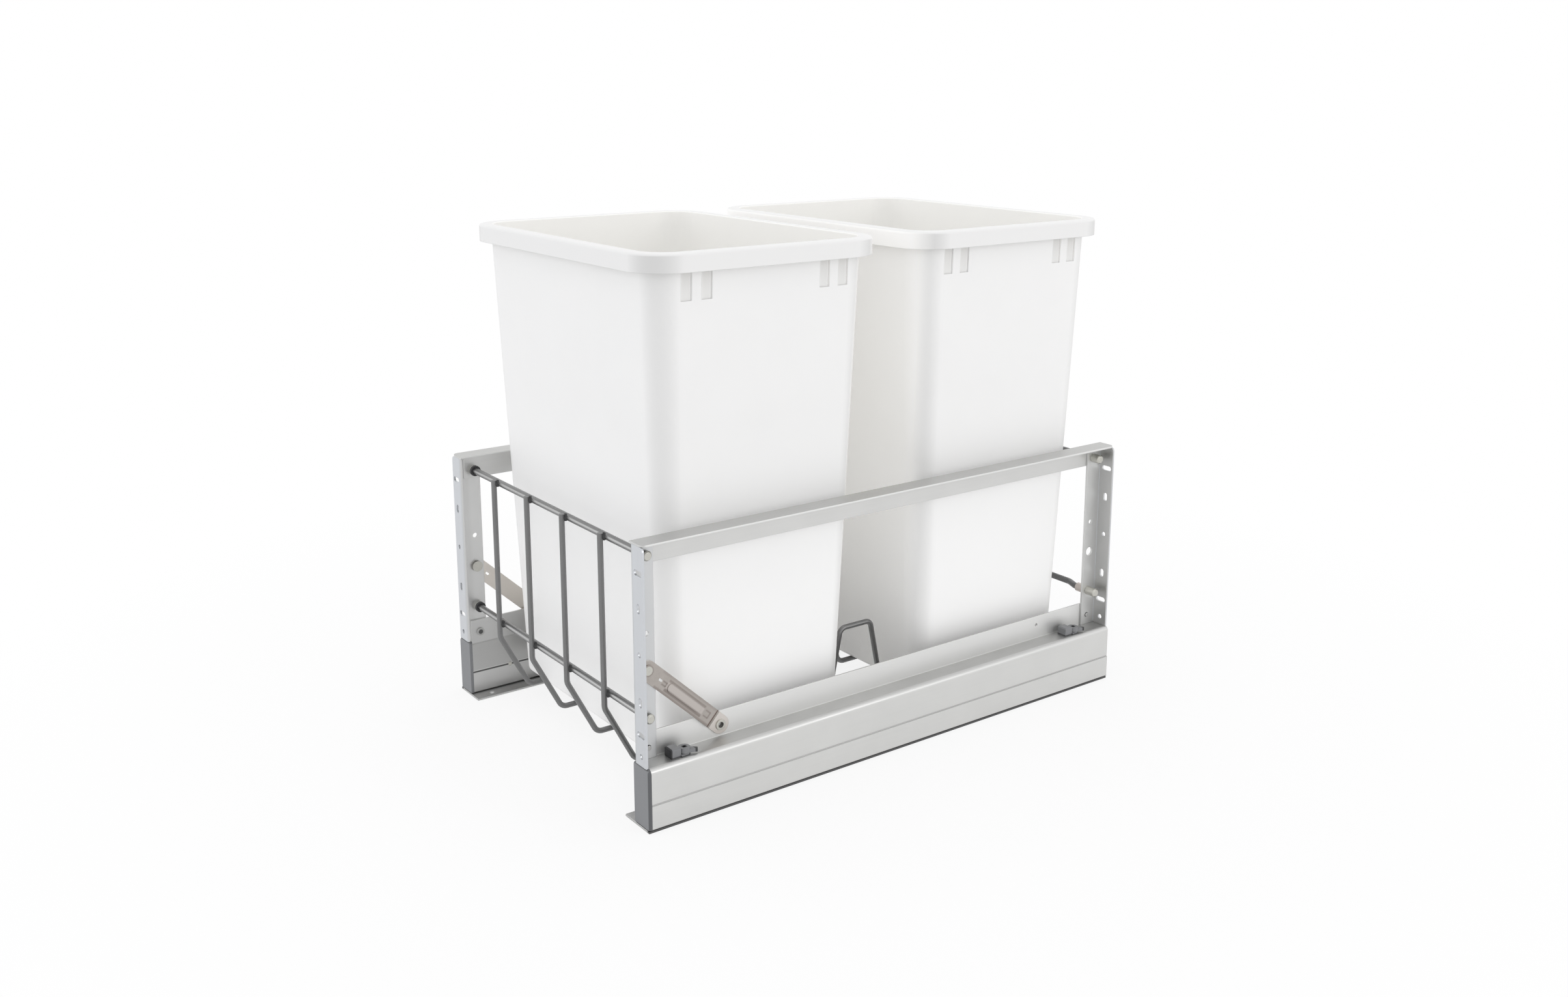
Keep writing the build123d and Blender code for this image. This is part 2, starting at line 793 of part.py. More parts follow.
def lock_x():
    """Middle of the ledge, where the locks turn."""
    return (wall_x + outer_x - skin_step) / 2 + lock_outboard


def lock_housing(y):
    x = lock_x()
    bottom = ledge_height + seat_gap
    base_top = bottom + lock_base_height
    pin_top = bottom + lock_collar_height
    block_x = x - lock_block_inboard
    base = rod_z(lock_radius, bottom, base_top, x, y)
    block_high = y - lock_radius - lock_block_gap
    block_low = block_high - lock_block_length
    half = lock_block_width / 2
    shoulder = block(
        block_x - half, block_x + half, block_low, block_high, bottom, bottom + lock_height,
    )
    shoulder = chamfer(shoulder.edges().group_by(Axis.Z)[-1], lock_block_edge)
    bridge = block(x - lock_radius, x + lock_radius, block_high, y, bottom, base_top)
    pin = rod_z(lock_pin_radius, base_top, pin_top, x, y)
    peg_low = ledge_height - profile_wall + lock_peg_tip
    peg = rod_z(lock_peg_radius, peg_low, bottom, x, y)
    body = base + shoulder + bridge + pin + peg
    socket = Pos(x, y, pin_top - lock_socket_depth) * RegularPolygon(lock_socket_radius, 6)
    return body - extrude(socket, amount=lock_socket_depth + cut_overrun)


def lock_cam(y):
    """Turning collar with a pointed tail, rearwards and a little outwards."""
    x = lock_x()
    bottom = ledge_height + seat_gap + lock_base_height + lock_lift_gap
    top = ledge_height + seat_gap + lock_collar_height
    tail = [
        (-lock_tail_root, 0), (lock_tail_root, 0),
        (lock_tail_tip, lock_tail_reach), (-lock_tail_tip, lock_tail_reach),
    ]
    outline = make_face(Polyline(*tail, close=True))
    lever = extrude(outline, amount=lock_tail_height, dir=(0, 0, 1))
    cam = Pos(x, y, bottom) * Rot(0, 0, -lock_tail_angle) * lever
    cam += rod_z(lock_radius, bottom, top, x, y)
    return cam - rod_z(lock_pin_radius + lock_play, bottom, top, x, y)


def tapered(width, depth, radius, z_low, top_width, top_depth, top_radius, z_high):
    """Solid between two rounded rectangles."""
    low = Pos(0, 0, z_low) * RectangleRounded(width, depth, radius)
    high = Pos(0, 0, z_high) * RectangleRounded(top_width, top_depth, top_radius)
    return loft([low, high], ruled=True)


def bin_shell():
    """A bin standing on z = 0, with its rim and its recesses."""
    top_width = bin_rim_width - 2 * bin_rim_overhang
    top_depth = bin_rim_depth - 2 * bin_rim_overhang
    low_width = top_width - 2 * bin_draft
    low_depth = top_depth - 2 * bin_draft
    body = tapered(
        low_width, low_depth, bin_bottom_radius, 0,
        top_width, top_depth, bin_top_radius, bin_height,
    )
    body = fillet(body.edges().group_by(Axis.Z)[0], bin_bottom_edge)
    rim = extrude(
        Pos(0, 0, bin_height - bin_rim_height)
        * RectangleRounded(bin_rim_width, bin_rim_depth, bin_rim_radius),
        amount=bin_rim_height,
    )
    rim = fillet(rim.edges().group_by(Axis.Z)[-1], bin_rim_edge)
    under = extrude(
        Pos(0, 0, bin_height - bin_rim_height - cut_overrun) * RectangleRounded(
            bin_rim_width - 2 * bin_wall, bin_rim_depth - 2 * bin_wall, bin_rim_radius - bin_wall
        ),
        amount=bin_rim_height + cut_overrun - bin_wall,
    )
    shell = body + (rim - (under - body))
    half_recess = recess_width / 2
    recess_low = bin_height - bin_rim_height - recess_drop
    recess_high = bin_height - bin_rim_height
    pockets = []
    for pair_side in (-1, 1):
        for place in (-1, 1):
            y = pair_side * recess_pair_spacing / 2 + place * recess_pitch / 2
            pockets.append(y)
    hollow = tapered(
        low_width - 2 * bin_wall, low_depth - 2 * bin_wall, bin_bottom_radius - bin_wall, bin_floor,
        top_width - 2 * bin_wall, top_depth - 2 * bin_wall, bin_top_radius - bin_wall,
        bin_height + bin_floor,
    )
    core = tapered(
        low_width - 2 * recess_depth, low_depth - 2 * recess_depth, bin_bottom_radius - recess_depth, 0,
        top_width - 2 * recess_depth, top_depth - 2 * recess_depth, bin_top_radius - recess_depth,
        bin_height,
    )
    shell = shell - hollow
    for y in pockets:
        for side in (-1, 1):
            cut_low, cut_high = sorted((side * low_width / 2, side * (top_width / 2 + bin_wall)))
            cutter = block(
                cut_low, cut_high, y - half_recess, y + half_recess, recess_low, recess_high,
            )
            shell -= cutter - core
    mouth = shell.faces().sort_by(Axis.Z)[-1].inner_wires()[0]
    return fillet(mouth.edges(), bin_mouth_edge)


# Cabinet side
save_pair("floor_bracket", floor_bracket())
save_pair("cabinet_member", cabinet_member())
bracket_rivets = [bracket_rivet(y) for y in rivet_places(slide_rivet_count)]
save("bracket_rivets", group(bracket_rivets + [to_left(rivet) for rivet in bracket_rivets]))
save_pair("damper_housing", damper_housing())
save_pair("damper_plunger", damper_plunger())

# Middle members and ball cages
save_pair("mid_member", mid_member())
save_pair("outer_ball_cage", outer_cage())
save_pair("inner_ball_cage", inner_cage())

# Pull-out frame
save_pair("drawer_member", drawer_member())
drawer_rivets = [drawer_rivet(y) for y in rivet_places(slide_rivet_count)]
save("drawer_rivets", group(drawer_rivets + [to_left(rivet) for rivet in drawer_rivets]))
save_pair("damper_striker", striker())
save_pair("side_profile", side_profile())
save_pair("front_cap", front_cap())
save_pair("front_bracket", corner_bracket())
save_pair("rear_bracket", to_rear(corner_bracket()))
save_pair("top_rail", top_rail())
save("front_top_rod", straight_rod(top_rod_end, rod_front_y, top_rod_height))
save("front_low_rod", straight_rod(low_rod_end, rod_front_y, low_rod_height))
save("rear_top_rod", straight_rod(top_rod_end, rod_rear_y, top_rod_height))
save("rear_low_rod", rear_low_rod())
for index in range(wire_count):
    wire_x = (index - (wire_count - 1) / 2) * wire_pitch
    save("cradle_wire_" + str(index + 1), cradle_wire(wire_x))
save_pair("brace", brace())

# Fasteners of the frame
right_bolts = [rod_bolt(*place) for place in rod_places()]
save("rod_bolts", group(right_bolts + [to_left(bolt) for bolt in right_bolts]))
right_collars = [rod_collar(*place[:3]) for place in rod_places()[:3]]
save("rod_collars", group(right_collars + [to_left(collar) for collar in right_collars]))
save("rear_sleeves", group([rear_sleeve(), to_left(rear_sleeve())]))
right_screws = [bracket_screw(y) for y in (rod_front_y, rod_rear_y)]
save("bracket_screws", group(right_screws + [to_left(screw) for screw in right_screws]))
save("brace_bolts", group([brace_bolt(), to_left(brace_bolt())]))
save("brace_rivets", group([brace_rivet(), to_left(brace_rivet())]))

# Locks
for corner, lock_y in (("front", front_y + lock_inset), ("rear", rear_y - lock_inset)):
    save_pair("lock_housing_" + corner, lock_housing(lock_y))
    save_pair("lock_cam_" + corner, lock_cam(lock_y))

# Bins
bin_rest_z = wire_floor_height + wire_radius + bin_rest_gap
front_bin_y = front_y + bin_front_inset + bin_rim_depth / 2
rear_bin_y = front_bin_y + bin_rim_depth + bin_gap
bin_solid = bin_shell()
save("bin_front", Pos(0, front_bin_y, bin_rest_z) * bin_solid)
save("bin_rear", Pos(0, rear_bin_y, bin_rest_z) * bin_solid)
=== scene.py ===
"""Studio picture of a pull-out frame that carries two waste bins under a kitchen counter."""

import logging
import math
from collections.abc import Callable
from dataclasses import dataclass
from enum import Enum

import bmesh
import bpy
from mathutils import Matrix, Vector


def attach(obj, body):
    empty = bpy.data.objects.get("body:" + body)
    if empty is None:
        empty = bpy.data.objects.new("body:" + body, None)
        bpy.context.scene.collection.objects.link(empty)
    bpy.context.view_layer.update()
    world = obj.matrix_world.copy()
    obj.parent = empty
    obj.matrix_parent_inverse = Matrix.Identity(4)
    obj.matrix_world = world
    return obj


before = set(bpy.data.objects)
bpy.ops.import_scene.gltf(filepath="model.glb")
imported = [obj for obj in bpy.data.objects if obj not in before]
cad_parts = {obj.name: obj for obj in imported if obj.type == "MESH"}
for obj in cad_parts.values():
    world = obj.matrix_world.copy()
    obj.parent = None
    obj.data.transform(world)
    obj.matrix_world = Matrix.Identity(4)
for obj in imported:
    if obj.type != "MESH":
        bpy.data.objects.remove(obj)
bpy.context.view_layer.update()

LOG = logging.getLogger("bin_frame")
MM = 0.001
Colour = tuple[float, float, float]
Place = tuple[float, float, float]
Span = tuple[float, float]
FaceTest = Callable[[Vector, Vector], bool]
BEYOND_X = 190.0
BEVEL_SAMPLES = 6
EDGE_COSINES = (0.88, 0.995)
MERGE_REACH = 0.01


class Grain(Enum):
    """Direction along which a metal was drawn or brushed."""

    ALONG_X = (0.02, 1.0, 1.0)
    ALONG_Y = (1.0, 0.02, 1.0)
    ALONG_Z = (1.0, 1.0, 0.02)
    NONE = (1.0, 1.0, 1.0)


class End(Enum):
    """End of the frame that a painted zone lies at."""

    FRONT = -1.0
    REAR = 1.0
    BOTH = 0.0


class Value:
    """A shader socket that takes part in Python expressions."""

    def __init__(self, shader: "Shader", socket: bpy.types.NodeSocket) -> None:
        """Keep the socket and the shader that owns it.

        Args:
            shader: Node tree that new Math nodes are added to.
            socket: Output socket that carries the value.
        """
        self.shader = shader
        self.socket = socket

    def _math(self, operation: str, first: object, second: object) -> "Value":
        """Return a Math node's result for two operands."""
        return self.shader.node("ShaderNodeMath", {"operation": operation}, {0: first, 1: second})

    def __add__(self, other: object) -> "Value":
        """Return self + other."""
        return self._math("ADD", self, other)

    def __radd__(self, other: object) -> "Value":
        """Return other + self."""
        return self._math("ADD", other, self)

    def __sub__(self, other: object) -> "Value":
        """Return self - other."""
        return self._math("SUBTRACT", self, other)

    def __rsub__(self, other: object) -> "Value":
        """Return other - self."""
        return self._math("SUBTRACT", other, self)

    def __mul__(self, other: object) -> "Value":
        """Return self * other."""
        return self._math("MULTIPLY", self, other)

    def __rmul__(self, other: object) -> "Value":
        """Return other * self."""
        return self._math("MULTIPLY", other, self)

    def size(self) -> "Value":
        """Return the value without its sign."""
        return self._math("ABSOLUTE", self, 0.0)

    def sign(self) -> "Value":
        """Return -1, 0 or 1."""
        return self._math("SIGN", self, 0.0)

    def root(self) -> "Value":
        """Return the square root."""
        return self._math("SQRT", self, 0.0)


class Shader:
    """Node tree of one material."""

    def __init__(self, name: str) -> None:
        """Make an empty material.

        Args:
            name: Name of the material.
        """
        self.material = bpy.data.materials.new(name)
        self.material.use_nodes = True
        self.tree = self.material.node_tree
        self.tree.nodes.clear()

    def node(self, kind: str, settings: dict, inputs: dict, output: int | str = 0) -> Value:
        """Add a node and return one of its outputs.

        Args:
            kind: Node type.
            settings: Properties to set before the sockets.
            inputs: Values or links of the input sockets.
            output: Output socket to return.

        Returns:
            The chosen output as a Value.
        """
        made = self.tree.nodes.new(kind)
        for key, value in settings.items():
            setattr(made, key, value)
        for key, value in inputs.items():
            if isinstance(value, Value):
                self.tree.links.new(value.socket, made.inputs[key])
            else:
                made.inputs[key].default_value = value
        return Value(self, made.outputs[output])

    def place(self, stretch: Place = (1.0, 1.0, 1.0)) -> Value:
        """Return the object coordinates in millimetres, stretched along each axis.

        Args:
            stretch: Factor along each axis.

        Returns:
            The stretched coordinates.
        """
        where = self.node("ShaderNodeTexCoord", {}, {}, "Object")
        scale = tuple(part / MM for part in stretch)
        return self.node("ShaderNodeMapping", {}, {"Vector": where, "Scale": scale})

    def axes(self, where: Value) -> tuple[Value, Value, Value]:
        """Return the three parts of a vector.

        Args:
            where: The vector.

        Returns:
            Its X, Y and Z.
        """
        split = self.node("ShaderNodeSeparateXYZ", {}, {0: where}, "X")
        outputs = split.socket.node.outputs
        return split, Value(self, outputs["Y"]), Value(self, outputs["Z"])

    def facing(self) -> tuple[Value, Value, Value]:
        """Return the parts of the surface's normal."""
        return self.axes(self.node("ShaderNodeNewGeometry", {}, {}, "Normal"))

    def noise(self, where: Value, scale: float, detail: float = 2.0, rough: float = 0.5) -> Value:
        """Return a noise value.

        Args:
            where: Coordinates in millimetres.
            scale: Cells per millimetre.
            detail: Octaves.
            rough: Share of each finer octave.

        Returns:
            Noise from 0 to 1.
        """
        inputs = {"Vector": where, "Scale": scale, "Detail": detail, "Roughness": rough}
        return self.node("ShaderNodeTexNoise", {}, inputs, "Fac")

    def fit(self, value: Value, low: float, high: float, start: float = 0.3, end: float = 0.7) -> Value:
        """Return a value stretched from one range to another, clamped.

        Args:
            value: What is stretched.
            low: Result at the start.
            high: Result at the end.
            start: Value that gives low.
            end: Value that gives high.

        Returns:
            The stretched value.
        """
        inputs = {"Value": value, "From Min": start, "From Max": end, "To Min": low, "To Max": high}
        return self.node("ShaderNodeMapRange", {"clamp": True}, inputs)

    def blend(self, share: Value, first: object, second: object) -> Value:
        """Return a mix of two colours.

        Args:
            share: Share of the second colour.
            first: Colour at 0, a tuple or a Value.
            second: Colour at 1, a tuple or a Value.

        Returns:
            The mixed colour.
        """
        first = first if isinstance(first, Value) else (*first, 1.0)
        second = second if isinstance(second, Value) else (*second, 1.0)
        return self.node("ShaderNodeMix", {"data_type": "RGBA"}, {0: share, 6: first, 7: second}, 2)

    def span(self, value: Value, limits: Span, soft: float) -> Value:
        """Return 1 inside a range and 0 outside it, with soft ends.

        Args:
            value: What is tested.
            limits: Lowest and highest value inside.
            soft: Width of each end.

        Returns:
            The mask.
        """
        rise = self.fit(value, 0.0, 1.0, limits[0] - soft / 2, limits[0] + soft / 2)
        fall = self.fit(value, 1.0, 0.0, limits[1] - soft / 2, limits[1] + soft / 2)
        return rise * fall

    def marks(self, colour: Value, marks: tuple["Mark", ...]) -> Value:
        """Return a colour with painted zones over it.

        Args:
            colour: Colour beneath.
            marks: Zones, drawn in order.

        Returns:
            The painted colour.
        """
        if not marks:
            return colour
        x, y, z = self.axes(self.place())
        for mark in marks:
            colour = self.blend(mark.mask(self, x, y, z), colour, mark.colour)
        return colour

    def edges(self, width: float) -> tuple[Value, Value]:
        """Return a normal rounded over sharp edges, and a mask of those edges.

        Args:
            width: Reach of the rounding in millimetres.

        Returns:
            The normal, and a mask that is 1 at the edges.
        """
        rounded = self.node("ShaderNodeBevel", {"samples": BEVEL_SAMPLES}, {"Radius": width * MM})
        flat = self.node("ShaderNodeNewGeometry", {}, {}, "Normal")
        operands = {0: rounded, 1: flat}
        same = self.node("ShaderNodeVectorMath", {"operation": "DOT_PRODUCT"}, operands, "Value")
        return rounded, self.fit(same, 1.0, 0.0, *EDGE_COSINES)

    def bump(self, height: Value, depth: float, normal: Value) -> Value:
        """Return a normal bent by a height.

        Args:
            height: Height from 0 to 1.
            depth: Height difference in millimetres.
            normal: Normal that is bent.

        Returns:
            The bent normal.
        """
        inputs = {"Height": height, "Distance": depth * MM, "Strength": 1.0, "Normal": normal}
        return self.node("ShaderNodeBump", {}, inputs)

    def surface(self, inputs: dict) -> bpy.types.Material:
        """Finish the material with a principled surface.

        Args:
            inputs: Values or links of the surface's sockets.

        Returns:
            The finished material.
        """
        shaded = self.node("ShaderNodeBsdfPrincipled", {}, inputs, "BSDF")
        output = self.tree.nodes.new("ShaderNodeOutputMaterial")
        self.tree.links.new(shaded.socket, output.inputs["Surface"])
        return self.material


@dataclass(frozen=True)
class Mark:
    """Soft-edged zone of a piece, the same on the left and on the right, in millimetres.

    A ring is the height and depth of its middle, and its inner and outer radius. A strip lies on
    a line that runs down and rearwards: its limits are along that line, then across it.
    """

    colour: Colour
    share: float = 1.0
    x: Span | None = None
    y: Span | None = None
    z: Span | None = None
    soft: float = 0.4
    end: End = End.BOTH
    ring: tuple[float, float, float, float] | None = None
    strip: tuple[Span, Span] | None = None

    def mask(self, shader: Shader, x: Value, y: Value, z: Value) -> Value:
        """Return the zone's share at each place.

        Args:
            shader: Shader that is being built.
            x: Place across the frame.
            y: Place along the frame.
            z: Height.

        Returns:
            Share of the zone's colour.
        """
        across = x.size()
        along = y.size() if self.end is End.BOTH else y * self.end.value
        share = self.share
        for value, limits in ((across, self.x), (along, self.y), (z, self.z)):
            if limits is not None:
                share = shader.span(value, limits, self.soft) * share
        if self.end is not End.BOTH and self.y is None:
            share = shader.fit(along, 0.0, 1.0, 0.0, 1.0) * share
        if self.ring is not None:
            middle_y, middle_z, inner, outer = self.ring
            side, rise = along - middle_y, z - middle_z
            away = (side * side + rise * rise).root()
            share = shader.span(away, (inner, outer), self.soft) * share
        if self.strip is not None:
            line = Strap()
            side, rise = y - line.top_y, z - line.top_z
            run_y, run_z = line.direction()
            down = side * run_y + rise * run_z
            aside = rise * run_y - side * run_z
            share = shader.span(down, self.strip[0], self.soft) * share
            share = shader.span(aside, self.strip[1], self.soft) * share
        return share


@dataclass(frozen=True)
class Strap:
    """Line of the diagonal braces, from the bolt down to the rivet, in millimetres."""

    top_y: float = -267.0
    top_z: float = 136.5
    low_y: float = -193.9
    low_z: float = 67.9

    def length(self) -> float:
        """Return the distance between the two fasteners."""
        return math.hypot(self.low_y - self.top_y, self.low_z - self.top_z)

    def direction(self) -> Span:
        """Return the parts along Y and Z of a step of one millimetre down the line."""
        return (self.low_y - self.top_y) / self.length(), (self.low_z - self.top_z) / self.length()


@dataclass(frozen=True)
class MetalFinish:
    """Drawn, rolled or plated metal with a grain, and edges worn bright."""

    name: str
    colour: Colour
    dark: Colour
    roughness: float
    metallic: float = 0.9
    grain: Grain = Grain.NONE
    streak_scale: float = 0.7
    streak_depth: float = 0.012
    streak_rough: float = 0.65
    mottle_scale: float = 0.03
    wear_scale: float = 0.4
    wear_least: float = 0.35
    roughness_spread: float = 0.06
    edge_width: float = 0.5
    edge_gain: float = 1.12
    marks: tuple[Mark, ...] = ()

    def material(self) -> bpy.types.Material:
        """Build the finish's shader.

        Returns:
            The material.
        """
        shader = Shader(self.name)
        along = shader.place(self.grain.value)
        streaks = shader.noise(along, self.streak_scale, 4.0, self.streak_rough)
        mottle = shader.noise(shader.place(), self.mottle_scale, 3.0)
        tone = shader.fit(streaks, 0.0, 0.5) + shader.fit(mottle, 0.0, 0.5)
        normal, edge = shader.edges(self.edge_width)
        worn = tuple(min(1.0, part * self.edge_gain) for part in self.colour)
        rubbed = shader.noise(shader.place(), self.wear_scale, 3.0)
        patch = shader.fit(rubbed, self.wear_least, 1.0) * edge
        colour = shader.blend(patch, shader.blend(tone, self.dark, self.colour), worn)
        low = self.roughness - self.roughness_spread
        high = self.roughness + self.roughness_spread
        return shader.surface({
            "Base Color": shader.marks(colour, self.marks),
            "Metallic": self.metallic,
            "Roughness": shader.fit(streaks + mottle, low, high, 0.7, 1.3),
            "Normal": shader.bump(streaks, self.streak_depth, normal),
        })


@dataclass(frozen=True)
class PlasticFinish:
    """Moulded plastic with a fine spark-eroded texture and softened edges."""

    name: str
    colour: Colour
    dark: Colour
    roughness: float
    texture_scale: float = 1.2
    texture_depth: float = 0.02
    cloud_scale: float = 0.02
    edge_width: float = 0.5
    edge_gain: float = 1.15
    edge_share: float = 0.7
    roughness_spread: float = 0.04
    specular: float = 0.5
    marks: tuple[Mark, ...] = ()

    def painted_glow(self, shader: Shader) -> dict:
        """Return the sockets of a painted glow for light that a thin wall lets through, here none."""
        return {}

    def paint(self, shader: Shader, colour: Value) -> Value:
        """Return the colour with the finish's own zones.

        Args:
            shader: Shader that is being built.
            colour: Colour beneath.

        Returns:
            The painted colour.
        """
        return shader.marks(colour, self.marks)

    def material(self) -> bpy.types.Material:
        """Build the finish's shader.

        Returns:
            The material.
        """
        shader = Shader(self.name)
        texture = shader.noise(shader.place(), self.texture_scale, 3.0)
        cloud = shader.noise(shader.place(), self.cloud_scale, 2.0)
        normal, edge = shader.edges(self.edge_width)
        worn = tuple(min(1.0, part * self.edge_gain) for part in self.colour)
        clouded = shader.blend(shader.fit(cloud, 0.0, 1.0), self.dark, self.colour)
        colour = shader.blend(edge * self.edge_share, clouded, worn)
        low, high = self.roughness - self.roughness_spread, self.roughness + self.roughness_spread
        return shader.surface({
            "Base Color": self.paint(shader, colour),
            "Roughness": shader.fit(cloud + texture, low, high, 0.7, 1.3),
            "Specular IOR Level": self.specular,
            "Normal": shader.bump(texture, self.texture_depth, normal),
            **self.painted_glow(shader),
        })


@dataclass(frozen=True)
class BinFinish(PlasticFinish):
    """White moulded polypropylene with painted light and shade: lighter and warmer inside, low down and
    between the bins, with a faint painted glow, and darker at the corners, on the rim and in the
    recesses.
    """

    middle_y: float = 143.0
    # Painted light: a lighter, warmer colour inside the bins and on the walls between them.
    inner: Colour = (0.985, 0.979, 0.955)
    between: Colour = (0.985, 0.98, 0.965)
    between_reach: float = 45.0
    between_soft: float = 10.0
    between_facing: Span = (-0.9, -0.5)
    inside_soft: float = 8.0
    # Painted shade at the rounded corners, stronger on the rim.
    corner: Colour = (0.70, 0.70, 0.69)
    corner_share: float = 0.42
    corner_facing: Span = (0.12, 0.5)
    level_facing: Span = (0.1, 0.5)
    rim_share: float = 0.88
    rim_low: float = 465.0
    recess_centres: tuple[float, ...] = (-217.0, -197.0, -75.0, -55.0, 69.5, 89.5, 211.5, 231.5)
    recess_half: float = 4.6
    recess_low: float = 439.5
    recess_high: float = 466.5
    recess_depth: Span = (-1.8, -0.8)
    recess_soft: Place = (0.3, 4.0, 3.5)
    wall_x: float = 157.46
    wall_z: float = 440.8
    wall_slope: float = 0.0374
    # Painted shade in the recesses.
    shade: Colour = (0.76, 0.755, 0.735)
    shade_low_share: float = 0.45
    # Painted light low on the walls, and painted shade on the rim.
    low: Colour = (0.985, 0.985, 0.98)
    low_reach: Span = (60.0, 330.0)
    rim_shade: Colour = (0.86, 0.858, 0.85)
    rim_shade_share: float = 0.9
    # Painted glow: emission on the walls that get little light.
    glow: Colour = (0.05, 0.049, 0.0465)
    glow_inside_share: float = 0.55
    glow_low_share: float = 1.0

    def gap(self, shader: Shader) -> Value:
        """Return a mask of the walls that face each other between the bins.

        Args:
            shader: Shader that is being built.

        Returns:
            A mask that is 1 on those walls.
        """
        y = shader.axes(shader.place())[1]
        facing_y = shader.facing()[1]
        reach = self.between_reach
        near = shader.fit(y.size(), 1.0, 0.0, reach, reach + self.between_soft)
        return near * shader.fit(facing_y * y.sign(), 1.0, 0.0, *self.between_facing)

    def inside(self, shader: Shader) -> Value:
        """Return a mask of the inner walls and the floor of each bin.

        Args:
            shader: Shader that is being built.

        Returns:
            A mask that is 1 inside the bins.
        """
        x, y, _ = shader.axes(shader.place())
        facing_x, facing_y, _ = shader.facing()
        inwards = facing_x * x + facing_y * (y - y.sign() * self.middle_y)
        return shader.fit(inwards, 1.0, 0.0, -self.inside_soft, 0.0)

    def painted_glow(self, shader: Shader) -> dict:
        """Return a painted glow: faint emission standing in for the light the thin white walls let
        through, strongest where little light falls on them.

        Args:
            shader: Shader that is being built.

        Returns:
            The emission sockets.
        """
        z = shader.axes(shader.place())[2]
        inside = self.inside(shader)
        low = shader.fit(z, self.glow_low_share, 0.0, *self.low_reach)
        outside = (self.gap(shader) * (1.0 - low) + low) * (1.0 - inside)
        share = outside + inside * self.glow_inside_share
        glow = shader.blend(share, (0.0, 0.0, 0.0), self.glow)
        return {"Emission Color": glow, "Emission Strength": 1.0}

    def paint(self, shader: Shader, colour: Value) -> Value:
        """Return the colour with painted light and shade: lighter inside, low down and between the bins,
        darker on the rim, at the rounded corners and in the recesses.

        Args:
            shader: Shader that is being built.
            colour: Colour beneath.

        Returns:
            The painted colour.
        """
        x, y, z = shader.axes(shader.place())
        facing_x, facing_y, facing_z = shader.facing()
        inside = self.inside(shader)
        # Painted shade at the rounded vertical corners.
        round_corner = shader.fit((facing_x * facing_y).size(), 0.0, 1.0, *self.corner_facing)
        rim = shader.fit(z, 0.0, 1.0, self.rim_low, self.rim_low + 1.0)
        # Painted shade on the rim.
        colour = shader.blend(rim * self.rim_shade_share, colour, self.rim_shade)
        level = shader.fit(facing_z.size(), 1.0, 0.0, *self.level_facing)
        # Painted light low on the walls.
        colour = shader.blend(shader.fit(z, 1.0, 0.0, *self.low_reach), colour, self.low)
        shaded = round_corner * level * (rim * (self.rim_share - self.corner_share) + self.corner_share)
        colour = shader.blend(shaded * (1.0 - inside), colour, self.corner)
        # Painted light inside the bins and on the walls between them.
        colour = shader.blend(inside, colour, self.inner)
        colour = shader.blend(self.gap(shader) * (1.0 - inside), colour, self.between)
        # Painted shade in the recesses, strongest at the top.
        sunk = x.size() - (z - self.wall_z) * self.wall_slope - self.wall_x
        soft_x, soft_y, soft_z = self.recess_soft
        height = (self.recess_low, self.recess_high)
        floor = shader.span(sunk, self.recess_depth, soft_x) * shader.span(z, height, soft_z)
        beside = None
        for centre in self.recess_centres:
            one = shader.span(y, (centre - self.recess_half, centre + self.recess_half), soft_y)
            beside = one if beside is None else beside + one
        depth = shader.fit(z, self.shade_low_share, 1.0, *height)
        return shader.blend(floor * beside * depth * (1.0 - inside), colour, self.shade)


Finishes = dict[tuple[str, ...], MetalFinish | PlasticFinish]


class Bench:
    """Edit-mode steps that the modelled pieces share."""

    @staticmethod
    def clear() -> None:
        """Deselect everything, so that an operator acts on the new piece alone."""
        bpy.ops.object.select_all(action="DESELECT")

    @staticmethod
    def pick(piece: bpy.types.Object, test: FaceTest) -> int:
        """Select faces in edit mode.

        Args:
            piece: Piece in edit mode.
            test: Takes a face's centre in millimetres and its normal, and says whether it is wanted.

        Returns:
            How many faces are selected.
        """
        shape = bmesh.from_edit_mesh(piece.data)
        bpy.ops.mesh.select_all(action="DESELECT")
        for face in shape.faces:
            face.select_set(test(face.calc_center_median() / MM, face.normal))
        shape.select_flush_mode()
        bmesh.update_edit_mesh(piece.data)
        return sum(face.select for face in shape.faces)

    @staticmethod
    def settle(piece: bpy.types.Object, name: str) -> bpy.types.Object:
        """Merge doubles, turn the faces outwards and put the place into the mesh.

        Args:
            piece: Piece in edit mode.
            name: Its name.

        Returns:
            The piece, in object mode.
        """
        bpy.ops.mesh.select_all(action="SELECT")
        bpy.ops.mesh.remove_doubles(threshold=MERGE_REACH * MM)
        bpy.ops.mesh.normals_make_consistent(inside=False)
        bpy.ops.object.mode_set(mode="OBJECT")
        bpy.ops.object.transform_apply(location=True, rotation=True, scale=True)
        piece.name = name
        return piece

    @staticmethod
    def copy(piece: bpy.types.Object, name: str, shift: Matrix) -> bpy.types.Object:
        """Copy a piece with a mesh of its own.

        Args:
            piece: Piece that is copied.
            name: Name of the copy.
            shift: Where the copy's mesh goes.

        Returns:
            The copy.
        """
        twin = piece.copy()
        twin.data = piece.data.copy()
        twin.data.transform(shift)
        twin.name = name
        bpy.context.scene.collection.objects.link(twin)
        return twin


